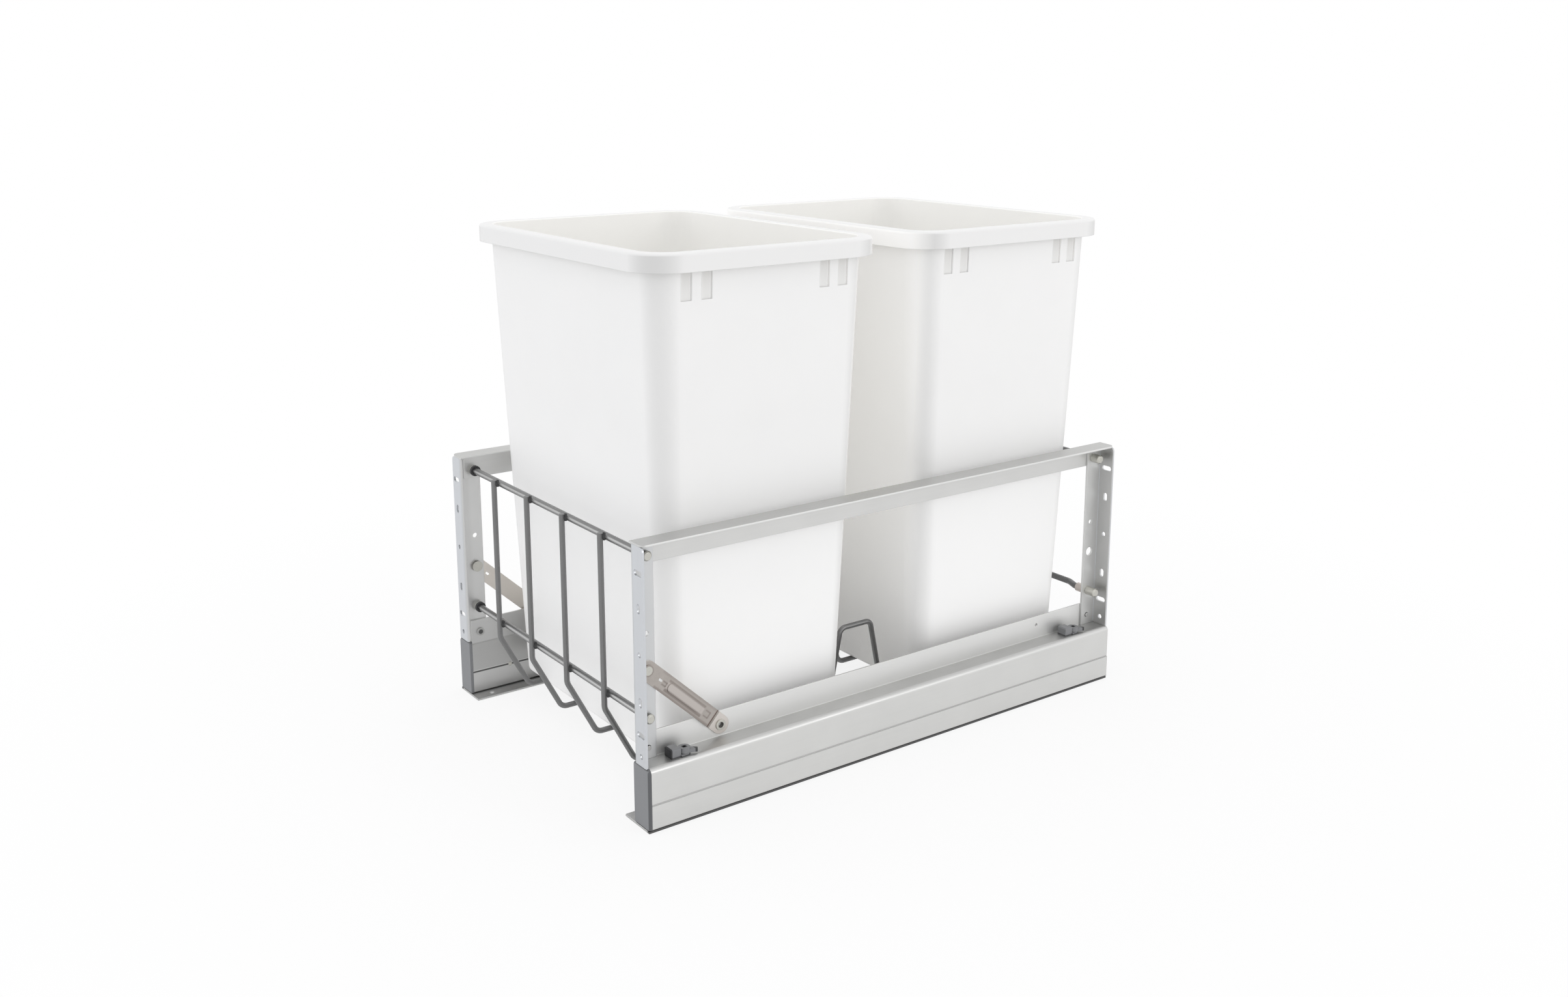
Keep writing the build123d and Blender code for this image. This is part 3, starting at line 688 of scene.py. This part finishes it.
@dataclass(frozen=True)
class SubAssembly:
    """Group of pieces that are modelled and dressed together."""

    title: str = "sub-assembly"

    def finishes(self) -> Finishes:
        """Return the finish of each group of CAD nodes, by the start of their names."""
        return {}

    def build(self) -> list[bpy.types.Object]:
        """Model the sub-assembly's own pieces."""
        return []

    def dress(self) -> None:
        """Give the sub-assembly's CAD nodes their materials."""
        for stems, finish in self.finishes().items():
            material = finish.material()
            for name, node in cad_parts.items():
                if name.startswith(stems):
                    for slot in node.material_slots:
                        slot.material = material
                    LOG.info("%s: %s wears %s", self.title, name, finish.name)

    def finish(self) -> None:
        """Model and dress the sub-assembly, and report its pieces."""
        for piece in self.build():
            LOG.info("%s: made %s", self.title, piece.name)
        self.dress()


@dataclass(frozen=True)
class SideProfiles(SubAssembly):
    """Aluminium extrusions that the whole frame stands on, and their plastic end caps."""

    title: str = "side profiles"
    ledge_z: float = 57.0
    inner_wall_x: float = 165.4
    wall_middle_x: float = 164.4
    above_z: float = 90.0
    channel_z: float = 26.0
    corner_x: float = 183.2
    corner_z: float = 53.0
    groove_z: float = 24.4
    groove_x: float = 180.0
    slot_x: Span = (160.0, 168.0)
    bottom_z: float = 2.6
    outer_x: float = 187.5

    def finishes(self) -> Finishes:
        """Return the finish of the profiles and of the caps.

        Returns:
            Finish by the start of the nodes' names.
        """
        inner, ledge, groove = self.inner_wall_x + 0.2, self.ledge_z, self.groove_z
        aluminium = MetalFinish(
            "satin_aluminium", (0.705, 0.705, 0.692), (0.665, 0.665, 0.652), 0.42, 0.85, Grain.ALONG_Y,
            marks=(
                # Painted shade: the inner faces below the groove, the inner wall and the ledge are
                # darker where less light reaches them.
                Mark(
                    (0.60, 0.60, 0.595), 0.9,
                    x=(0, self.outer_x - 0.9), z=(self.bottom_z, groove - 0.6)),
                Mark((0.48, 0.48, 0.475), 0.9, x=(0, self.inner_wall_x), z=(self.channel_z, ledge - 1)),
                Mark((0.58, 0.58, 0.575), 0.9, x=(0, self.wall_middle_x), z=(ledge - 1, self.above_z)),
                # Painted light: the outboard face of the inner wall above the ledge is lighter.
                Mark((0.78, 0.78, 0.77), 0.95, x=(self.wall_middle_x, inner), z=(ledge, self.above_z)),
                Mark((0.43, 0.43, 0.425), 0.9, x=(inner, self.corner_x), z=(ledge - 0.4, ledge + 3.0)),
                # Painted shade that tones down the reflection on the rounded top outer corner.
                Mark(
                    (0.60, 0.60, 0.595), 0.7, soft=1.0,
                    x=(self.corner_x - 0.5, BEYOND_X), z=(self.corner_z, ledge + 3.0)),
                # Painted shade in the groove along the outer face and in the slot on the inner face.
                Mark(
                    (0.52, 0.52, 0.515), 0.9, soft=0.8,
                    x=(self.groove_x, BEYOND_X), z=(groove - 0.8, groove + 0.8)),
                Mark((0.10, 0.10, 0.10), 0.9, x=self.slot_x, z=(groove - 0.9, groove + 0.9)),
                # Painted shade of the gap under the profile: a dark band along the bottom edge.
                Mark((0.11, 0.11, 0.11), 0.95, z=(-1.0, self.bottom_z + 0.5), soft=0.6),
            ))
        cap = PlasticFinish(
            "grey_cap", (0.25, 0.255, 0.265), (0.23, 0.235, 0.245), 0.5,
            marks=(
                # Painted shade on the cap's outer face and along its top edge.
                Mark((0.09, 0.092, 0.097), 0.85, x=(self.outer_x - 1.5, BEYOND_X)),
                Mark((0.13, 0.132, 0.137), 0.85, z=(self.ledge_z - 1.3, self.ledge_z + 3.0)),
            ))
        return {("side_profile",): aluminium, ("front_cap",): cap}


@dataclass(frozen=True)
class FloorBrackets(SubAssembly):
    """Sheet-steel feet that are screwed to the cabinet floor."""

    title: str = "floor brackets"
    edge_x: float = 184.0
    edge_z: float = 3.0

    def finishes(self) -> Finishes:
        """Return the finish of the feet.

        Returns:
            Finish by the start of the nodes' names.
        """
        foot = MetalFinish(
            "zinc_foot", (0.56, 0.56, 0.55), (0.50, 0.50, 0.50), 0.36, 0.85, Grain.ALONG_Y,
            # Painted shade of the gap under the profile, along the foot's outer edge.
            marks=(Mark((0.10, 0.10, 0.10), 0.95, x=(self.edge_x, BEYOND_X), z=(-1.0, self.edge_z)),))
        return {("floor_bracket",): foot}


@dataclass(frozen=True)
class CornerBrackets(SubAssembly):
    """Perforated steel angles that the door and the rails are fixed to."""

    title: str = "corner brackets"
    within_x: float = 160.0
    side_inner_x: float = 165.4
    side_outer_x: float = 167.4
    end_y: float = 279.5
    sheet: float = 2.0
    bend_shade: Span = (271.5, 281.0)

    def finishes(self) -> Finishes:
        """Return the finish of the front and rear brackets.

        Returns:
            Finish by the start of the nodes' names.
        """
        middle_x = (self.side_inner_x + self.side_outer_x) / 2
        face = (middle_x, self.side_outer_x + 0.05)
        outside, inside = self.side_outer_x + 0.3, self.end_y - self.sheet
        front = MetalFinish(
            "zinc_sheet", (0.64, 0.66, 0.685), (0.61, 0.625, 0.65), 0.36, 0.85, Grain.ALONG_Z,
            marks=(
                # Painted light and shade: the side flange's inner face is toned neutral, its outer face
                # darker and darkest beside the bend.
                Mark((0.66, 0.66, 0.65), 0.9, x=(self.within_x, middle_x)),
                Mark((0.60, 0.60, 0.59), 0.9, x=face, y=(0, self.end_y - 1.0)),
                Mark((0.45, 0.45, 0.44), 0.8, x=face, y=self.bend_shade, soft=4.0),
            ))
        rear = MetalFinish(
            "zinc_sheet_rear", (0.64, 0.66, 0.685), (0.61, 0.625, 0.65), 0.40, 0.85, Grain.ALONG_Z,
            marks=(
                # Painted light and shade: the side flange is lighter and the inner face of the rear
                # flange darker.
                Mark((0.70, 0.70, 0.69), 0.95, x=(self.within_x, outside), y=(0, inside - 0.3)),
                Mark((0.56, 0.56, 0.553), 0.95, x=(outside, BEYOND_X), y=(0, inside + 1.0)),
            ))
        return {("front_bracket",): front, ("rear_bracket",): rear}


@dataclass(frozen=True)
class TopRails(SubAssembly):
    """Aluminium angles over the brackets."""

    title: str = "top rails"
    top_z: float = 251.0
    web_x: float = 183.8

    def finishes(self) -> Finishes:
        """Return the finish of the rails.

        Returns:
            Finish by the start of the nodes' names.
        """
        rail = MetalFinish(
            "rail_aluminium", (0.66, 0.66, 0.65), (0.62, 0.62, 0.61), 0.40, 0.85, Grain.ALONG_Y,
            marks=(
                # Painted shade on the top flange, painted light on the outer web face, and a painted
                # highlight along the top outer edge.
                Mark((0.54, 0.54, 0.53), 0.9, z=(self.top_z - 0.4, self.top_z + 1.0)),
                Mark((0.68, 0.68, 0.67), 0.9, x=(self.web_x, BEYOND_X), soft=0.3),
                Mark(
                    (0.80, 0.80, 0.79), 0.7, soft=0.5,
                    x=(self.web_x - 0.3, BEYOND_X), z=(self.top_z - 1.2, self.top_z + 0.1)),
            ))
        return {("top_rail",): rail}


@dataclass(frozen=True)
class Rods(SubAssembly):
    """Cross rods between the corner brackets, their bushes and ferrules."""

    title: str = "rods"
    top_z: float = 237.0
    low_z: float = 94.0
    highlight_band: Span = (0.1, 1.9)
    top_spacer_x: float = 160.0
    low_spacer_x: float = 161.8
    spacer_end_x: float = 170.0
    top_spacer_z: Span = (200.0, 260.0)
    low_spacer_z: Span = (60.0, 130.0)

    def finishes(self) -> Finishes:
        """Return the finish of the rods, bushes and ferrules.

        Returns:
            Finish by the start of the nodes' names.
        """
        light = (0.46, 0.46, 0.455)
        # Painted highlight: a light band just above each front rod's axis. The rear rods get a darker
        # shaded copy of the finish with no band.
        rod = MetalFinish(
            "graphite_rod", (0.23, 0.23, 0.23), (0.20, 0.20, 0.20), 0.28, 0.85, Grain.ALONG_X,
            edge_gain=1.0, marks=tuple(
                Mark(light, 0.85, z=(level + self.highlight_band[0], level + self.highlight_band[1]), soft=0.5)
                for level in (self.top_z, self.low_z)))
        rear = MetalFinish(
            "graphite_rod_rear_shaded", (0.17, 0.17, 0.17), (0.14, 0.14, 0.14), 0.32, 0.85, Grain.ALONG_X,
            edge_gain=1.0)
        nickel = (0.50, 0.495, 0.46)
        bush = PlasticFinish(
            "bush_black", (0.03, 0.03, 0.032), (0.025, 0.025, 0.027), 0.42,
            marks=(
                Mark(nickel, 0.95, x=(self.top_spacer_x, self.spacer_end_x), z=self.top_spacer_z),
                Mark(nickel, 0.95, x=(self.low_spacer_x, self.spacer_end_x), z=self.low_spacer_z),
            ))
        ferrule = MetalFinish(
            "ferrule_nickel", (0.60, 0.55, 0.515), (0.54, 0.49, 0.455), 0.32, 0.85)
        return {
            ("front_top_rod", "front_low_rod"): rod,
            ("rear_top_rod", "rear_low_rod"): rear,
            ("rod_collars",): bush,
            ("rear_sleeves",): ferrule,
        }


@dataclass(frozen=True)
class CradleWires(SubAssembly):
    """Bent wires that cradle the bins, and the weld beads that hold them to the rods."""

    title: str = "cradle wires"
    wire_x: tuple[float, ...] = (-103.5, -34.5, 34.5, 103.5)
    bead_half_x: float = 4.4
    bead_half_y: float = 3.4
    bead_half_z: float = 3.55
    bead_segments: int = 24
    bead_rings: int = 14
    tip_share: float = 0.62
    tip_taper: float = 0.86
    crossings: tuple[tuple[str, float, float], ...] = (
        ("front_top", -269.4, 237.0), ("front_low", -269.4, 94.0),
        ("rear_top", 269.4, 237.0), ("rear_low", 270.1, 94.0))

    def bead(self) -> bpy.types.Object:
        """Model one weld bead at the origin: a spindle that swells where wire and rod meet.

        Returns:
            The bead.
        """
        Bench.clear()
        bpy.ops.mesh.primitive_uv_sphere_add(
            segments=self.bead_segments, ring_count=self.bead_rings, radius=MM)
        piece = bpy.context.object
        bpy.ops.object.mode_set(mode="EDIT")
        bpy.ops.mesh.select_all(action="SELECT")
        bpy.ops.transform.resize(value=(self.bead_half_x, self.bead_half_y, self.bead_half_z))
        for side in (-1.0, 1.0):
            tip = self.bead_half_x * self.tip_share
            Bench.pick(piece, lambda centre, normal: centre.x * side > tip)
            bpy.ops.transform.resize(value=(1.0, self.tip_taper, self.tip_taper))
        return Bench.settle(piece, "weld_bead")

    def build(self) -> list[bpy.types.Object]:
        """Model the weld beads, each one riding on the frame.

        Returns:
            The beads.
        """
        # The weld beads are real; their near-black colour is partly the weld and partly painted shade at
        # the crossings.
        paint = MetalFinish(
            "weld_black_and_shade", (0.06, 0.06, 0.061), (0.035, 0.035, 0.036), 0.5, 0.4,
            streak_scale=1.4, streak_depth=0.15, edge_gain=1.0).material()
        first = self.bead()
        first.data.materials.append(paint)
        for face in first.data.polygons:
            face.use_smooth = True
        made = []
        for level, y, z in self.crossings:
            for index, x in enumerate(self.wire_x):
                shift = Matrix.Translation(Vector((x, y, z)) * MM)
                made.append(Bench.copy(first, f"weld_bead_{level}_{index + 1}", shift))
        bpy.data.objects.remove(first)
        for piece in made:
            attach(piece, "frame")
        return made

    def finishes(self) -> Finishes:
        """Return the finish of the wires.

        Returns:
            Finish by the start of the nodes' names.
        """
        wire = MetalFinish(
            "graphite_wire", (0.225, 0.225, 0.225), (0.19, 0.19, 0.19), 0.34, 0.7, edge_gain=1.0)
        return {("cradle_wire",): wire}


@dataclass(frozen=True)
class Braces(SubAssembly):
    """Pressed straps between the front brackets and the profiles."""

    title: str = "braces"
    inner_face_x: Span = (160.0, 168.3)
    outer_face_x: Span = (168.3, 173.0)
    channel_half: float = 4.2
    channel: Span = (25.0, 74.0)
    lance_near: Span = (19.5, 25.0)
    lance_far: Span = (76.0, 82.0)
    flange_start: float = 14.0
    high_flange: Span = (-8.7, -6.5)
    low_flange: Span = (6.6, 8.7)
    fold: Span = (86.4, 88.6)
    foot_end: float = 110.0
    foot_half: float = 12.0

    def finishes(self) -> Finishes:
        """Return the finish of the straps.

        Returns:
            Finish by the start of the nodes' names.
        """
        line, edge, face = (0.19, 0.158, 0.142), self.channel_half, self.outer_face_x
        near, far = self.lance_near, self.lance_far
        flange = (self.flange_start, self.fold[0])
        foot = ((self.fold[1], self.foot_end), (-self.foot_half, self.foot_half))
        # Painted light and shade on the outer face, as (along, across, colour, share): the channel's
        # middle is lighter, the bands at both edges darker, and dark lines stand for the shade at the
        # channel's edges and the lanced tabs.
        zones = (
            (self.channel, (-edge, edge), (0.55, 0.51, 0.482), 0.8),
            (flange, self.high_flange, (0.26, 0.225, 0.205), 0.7),
            (flange, self.low_flange, (0.33, 0.295, 0.275), 0.55),
            (self.channel, (edge - 1.3, edge + 1.1), line, 0.55),
            (self.channel, (-edge - 1.7, -edge + 1.2), line, 0.65),
            (near, (0.3, 1.5), line, 0.65),
            (near, (-2.7, -1.5), line, 0.65),
            ((near[1] - 1.2, near[1]), (-2.7, 1.5), line, 0.65),
            (far, (2.0, 3.1), line, 0.6),
            (far, (-3.1, -2.0), line, 0.6),
            ((far[1] - 0.8, far[1] + 0.4), (-3.0, 3.0), line, 0.6),
        )
        # Painted light: the inner face and the foot are lighter than the strap's outer face.
        marks = [
            Mark((0.74, 0.70, 0.65), 0.9, x=self.inner_face_x),
            Mark((0.66, 0.62, 0.585), 0.9, x=self.inner_face_x, strip=foot),
        ]
        marks += [
            Mark(tone, share, x=face, strip=(down, across), soft=1.2)
            for down, across, tone, share in zones]
        # Painted shade in the fold.
        marks.append(Mark((0.22, 0.15, 0.13), 0.8, strip=(self.fold, (-9.0, 9.0)), soft=0.5))
        strap = MetalFinish(
            "nickel_strap", (0.455, 0.42, 0.392), (0.40, 0.368, 0.342), 0.36, 0.85,
            mottle_scale=0.12, marks=tuple(marks))
        return {("brace_left", "brace_right"): strap}


@dataclass(frozen=True)
class Fasteners(SubAssembly):
    """Rod bolts, bracket screws, and the bolts and rivets of braces and slides."""

    title: str = "fasteners"
    head_start_x: float = 167.0
    front_wall_x: float = 171.3
    screw_y: float = 267.0
    screw_z: float = 67.0
    screw_centre: float = 2.4
    screw_start_x: float = 140.0
    sheet_middle_x: float = 166.4
    rear_screw_x: Span = (166.0, 172.0)
    rivet_bore: float = 2.7
    brace_shank_x: Span = (162.3, 165.4)
    brace_head_x: Span = (168.0, 175.0)
    brace_head_ring: Span = (3.9, 6.0)

    def finishes(self) -> Finishes:
        """Return the finish of each kind of fastener.

        Returns:
            Finish by the start of the nodes' names.
        """
        nickel, shade = (0.60, 0.595, 0.55), (0.53, 0.52, 0.475)
        # Painted shade around the heads of the front rod bolts.
        bolt = MetalFinish(
            "nickel_bolt", nickel, shade, 0.3, 0.9,
            marks=(
                Mark((0.10, 0.10, 0.095), 0.85, end=End.FRONT, x=(self.head_start_x, self.front_wall_x)),
            ))
        line = Strap()
        # Painted shade on the shank and in a ring around the head.
        brace_bolt = MetalFinish(
            "brace_bolt_nickel", nickel, shade, 0.3, 0.9,
            marks=(
                Mark((0.17, 0.165, 0.15), 0.8, x=self.brace_shank_x),
                Mark(
                    (0.30, 0.26, 0.24), 0.8, x=self.brace_head_x,
                    ring=(-line.top_y, line.top_z, *self.brace_head_ring)),
            ))
        screw = MetalFinish(
            "screw_zinc", (0.50, 0.50, 0.49), (0.44, 0.44, 0.43), 0.36, 0.85,
            marks=(
                # Painted shade in the front screw holes.
                Mark(
                    (0.07, 0.07, 0.07), 0.9, end=End.FRONT, x=(self.screw_start_x, self.sheet_middle_x),
                    ring=(self.screw_y, self.screw_z, -1.0, self.screw_centre)),
                Mark((0.62, 0.62, 0.61), 0.9, x=self.rear_screw_x, end=End.REAR),
            ))
        plain = MetalFinish("rivet_nickel", nickel, shade, 0.3, 0.9)
        # Painted shade in the rivet's bore.
        tube = MetalFinish(
            "brace_rivet_nickel", nickel, shade, 0.3, 0.9,
            marks=(
                Mark((0.05, 0.05, 0.048), 0.9, ring=(-line.low_y, line.low_z, -1.0, self.rivet_bore)),
            ))
        return {
            ("rod_bolts",): bolt,
            ("brace_bolts",): brace_bolt,
            ("bracket_screws",): screw,
            ("brace_rivets",): tube,
            ("bracket_rivets", "drawer_rivets"): plain,
        }


@dataclass(frozen=True)
class Locks(SubAssembly):
    """Quick-release locks on the ledges: a fixed block and a turning cam with a tail."""

    title: str = "locks"
    front_block_y: Span = (251.5, 253.0)
    ledge_z: float = 57.0
    shade_height: float = 1.2
    front_tail_y: Span = (224.1, 230.1)
    rear_tail_y: Span = (244.9, 257.5)
    socket_x: Span = (174.4, 178.8)
    socket_y: Span = (235.3, 239.7)
    socket_z: Span = (59.0, 64.0)

    def finishes(self) -> Finishes:
        """Return the finish of the blocks and of the cams.

        Returns:
            Finish by the start of the nodes' names.
        """
        black = (0.02, 0.02, 0.022)
        # Painted shade: a dark band where each block and cam meets the ledge.
        foot = (self.ledge_z, self.ledge_z + self.shade_height)
        block = PlasticFinish(
            "slate_lock", (0.235, 0.238, 0.247), (0.20, 0.203, 0.21), 0.42,
            marks=(
                # Painted shade: the front block's front face and the socket are painted black.
                Mark(black, 0.9, y=self.front_block_y, end=End.FRONT),
                Mark(black, 0.95, x=self.socket_x, y=self.socket_y, z=self.socket_z, soft=0.6),
                Mark(black, 0.6, z=foot),
            ))
        cam = PlasticFinish(
            "slate_cam", (0.235, 0.238, 0.245), (0.20, 0.203, 0.21), 0.42,
            marks=(
                Mark(black, 0.9, y=self.front_tail_y, end=End.FRONT),
                Mark(black, 0.9, y=self.rear_tail_y, end=End.REAR),
                Mark(black, 0.6, z=foot),
            ))
        return {("lock_housing",): block, ("lock_cam",): cam}


@dataclass(frozen=True)
class Slides(SubAssembly):
    """Ball slides inside the profiles, with their cages."""

    title: str = "slides"

    def finishes(self) -> Finishes:
        """Return the finish of the members and of the cages.

        Returns:
            Finish by the start of the nodes' names.
        """
        member = MetalFinish(
            "slide_steel", (0.62, 0.62, 0.61), (0.55, 0.55, 0.54), 0.28, 0.95, Grain.ALONG_Y)
        cage = MetalFinish(
            "cage_steel", (0.55, 0.55, 0.53), (0.48, 0.48, 0.46), 0.3, 0.95, Grain.ALONG_Y)
        return {
            ("cabinet_member", "mid_member", "drawer_member"): member,
            ("outer_ball_cage", "inner_ball_cage"): cage,
        }


@dataclass(frozen=True)
class Dampers(SubAssembly):
    """Soft-close dampers under the ledges."""

    title: str = "dampers"

    def finishes(self) -> Finishes:
        """Return the finish of the housings and of the plungers.

        Returns:
            Finish by the start of the nodes' names.
        """
        housing = PlasticFinish("damper_grey", (0.3, 0.31, 0.33), (0.26, 0.27, 0.29), 0.45)
        rod = MetalFinish(
            "plunger_steel", (0.66, 0.66, 0.65), (0.60, 0.60, 0.59), 0.22, 0.95, Grain.ALONG_Y)
        return {("damper_housing", "damper_striker"): housing, ("damper_plunger",): rod}


@dataclass(frozen=True)
class Bins(SubAssembly):
    """Two tapered waste bins with folded rims."""

    title: str = "bins"

    def finishes(self) -> Finishes:
        """Return the finish of the bins.

        Returns:
            Finish by the start of the nodes' names.
        """
        white = BinFinish(
            "bin_white", (0.925, 0.923, 0.915), (0.915, 0.913, 0.905), 0.45, 0.8, 0.006,
            edge_width=0.8, edge_gain=1.02, specular=0.35)
        return {("bin_front", "bin_rear"): white}


@dataclass(frozen=True)
class Lamp:
    """Square soft lamp that points at a place."""

    name: str
    position: Place
    target: Place
    size: float
    power: float
    colour: Colour

    def hang(self) -> None:
        """Put the lamp in the scene."""
        data = bpy.data.lights.new(self.name, "AREA")
        data.size = self.size
        data.energy = self.power
        data.color = self.colour
        lamp = bpy.data.objects.new(self.name, data)
        lamp.location = self.position
        aim = Vector(self.target) - Vector(self.position)
        lamp.rotation_mode = "QUATERNION"
        lamp.rotation_quaternion = aim.to_track_quat("-Z", "Y")
        bpy.context.scene.collection.objects.link(lamp)


@dataclass(frozen=True)
class Studio:
    """Camera, floor, backdrop and lamps."""

    picture_width: float = 2408.0
    picture_height: float = 1531.0
    focal_pixels: float = 2277.7
    horizon_pixel: float = 600.0
    position: Place = (1.1703, -0.8583, 0.6215)
    yaw: float = 53.856
    pitch: float = 12.043
    sensor: float = 36.0
    ambient: Colour = (0.84, 0.84, 0.85)
    floor_size: float = 60.0
    floor_drop: float = 0.4
    floor_white_share: float = 0.85
    floor_tone: Colour = (0.9, 0.9, 0.9)
    floor_gloss_share: float = 0.5
    shadow_reach: float = 0.9
    shadow_core: float = 0.4
    lamps: tuple[Lamp, ...] = (
        Lamp("left_softbox", (-1.5, -2.6, 0.7), (0, 0, 0.2), 2.2, 13.0, (0.97, 0.985, 1.0)),
        Lamp("right_softbox", (2.7, 1.2, 0.9), (0, 0, 0.2), 1.4, 10.5, (1.0, 0.995, 0.98)),
        Lamp("top_softbox", (-0.2, 0.2, 2.6), (0, 0, 0), 1.2, 8.0, (1.0, 1.0, 1.0)),
    )

    def camera(self) -> None:
        """Place the camera as the photograph was taken."""
        data = bpy.data.cameras.new("studio_camera")
        data.sensor_width = self.sensor
        data.lens = self.focal_pixels / self.picture_width * self.sensor
        data.shift_y = (self.horizon_pixel - self.picture_height / 2) / self.picture_width
        yaw, pitch = math.radians(self.yaw), math.radians(self.pitch)
        level = math.cos(pitch)
        ahead = Vector((-math.sin(yaw) * level, math.cos(yaw) * level, -math.sin(pitch)))
        camera = bpy.data.objects.new("studio_camera", data)
        camera.location = self.position
        camera.rotation_mode = "QUATERNION"
        camera.rotation_quaternion = ahead.to_track_quat("-Z", "Y")
        bpy.context.scene.collection.objects.link(camera)
        bpy.context.scene.camera = camera

    def world(self) -> None:
        """Show white behind the object, and a softer white as its light."""
        world = bpy.data.worlds.new("studio_world")
        world.use_nodes = True
        tree = world.node_tree
        tree.nodes.clear()
        rays = tree.nodes.new("ShaderNodeLightPath")
        shiny = tree.nodes.new("ShaderNodeMath")
        shiny.operation = "MAXIMUM"
        tree.links.new(rays.outputs["Is Glossy Ray"], shiny.inputs[0])
        tree.links.new(rays.outputs["Is Transmission Ray"], shiny.inputs[1])
        seen = tree.nodes.new("ShaderNodeMath")
        seen.operation = "MAXIMUM"
        tree.links.new(rays.outputs["Is Camera Ray"], seen.inputs[0])
        tree.links.new(shiny.outputs[0], seen.inputs[1])
        light = tree.nodes.new("ShaderNodeBackground")
        light.inputs["Color"].default_value = (*self.ambient, 1.0)
        white = tree.nodes.new("ShaderNodeBackground")
        white.inputs["Color"].default_value = (1.0, 1.0, 1.0, 1.0)
        either = tree.nodes.new("ShaderNodeMixShader")
        tree.links.new(seen.outputs[0], either.inputs[0])
        tree.links.new(light.outputs[0], either.inputs[1])
        tree.links.new(white.outputs[0], either.inputs[2])
        output = tree.nodes.new("ShaderNodeOutputWorld")
        tree.links.new(either.outputs[0], output.inputs["Surface"])
        bpy.context.scene.world = world

    def floor(self) -> None:
        """Lay a white floor that keeps a faint shadow near the object."""
        Bench.clear()
        bpy.ops.mesh.primitive_plane_add(size=self.floor_size, location=(0, 0, -self.floor_drop * MM))
        floor = bpy.context.object
        floor.name = "studio_floor"
        shader = Shader("studio_floor")
        lit = shader.node("ShaderNodeBsdfDiffuse", {}, {"Color": (*self.floor_tone, 1.0)})
        glow = shader.node("ShaderNodeEmission", {}, {"Color": (1.0, 1.0, 1.0, 1.0), "Strength": 1.0})
        rays = shader.node("ShaderNodeLightPath", {}, {}, "Is Camera Ray")
        shiny = shader.node("ShaderNodeLightPath", {}, {}, "Is Glossy Ray")
        away = shader.node("ShaderNodeVectorMath", {"operation": "LENGTH"}, {0: shader.place()}, "Value")
        reach = self.shadow_reach / MM
        white = shader.fit(away, self.floor_white_share, 1.0, reach * self.shadow_core, reach)
        shown = rays * white + shiny * self.floor_gloss_share
        mixed = shader.node("ShaderNodeMixShader", {}, {0: shown, 1: lit, 2: glow})
        output = shader.tree.nodes.new("ShaderNodeOutputMaterial")
        shader.tree.links.new(mixed.socket, output.inputs["Surface"])
        floor.data.materials.append(shader.material)

    def build(self) -> None:
        """Set up the whole studio."""
        bpy.context.scene.view_settings.view_transform = "Standard"
        self.camera()
        self.world()
        self.floor()
        for lamp in self.lamps:
            lamp.hang()


def main() -> None:
    """Build the studio, then model and dress each sub-assembly."""
    logging.basicConfig(level=logging.INFO, format="%(message)s")
    Bench.clear()
    Studio().build()
    for group in (
        SideProfiles(), FloorBrackets(), CornerBrackets(), TopRails(), Rods(), CradleWires(),
        Braces(), Fasteners(), Locks(), Slides(), Dampers(), Bins(),
    ):
        group.finish()


if __name__ == "__main__":
    main()
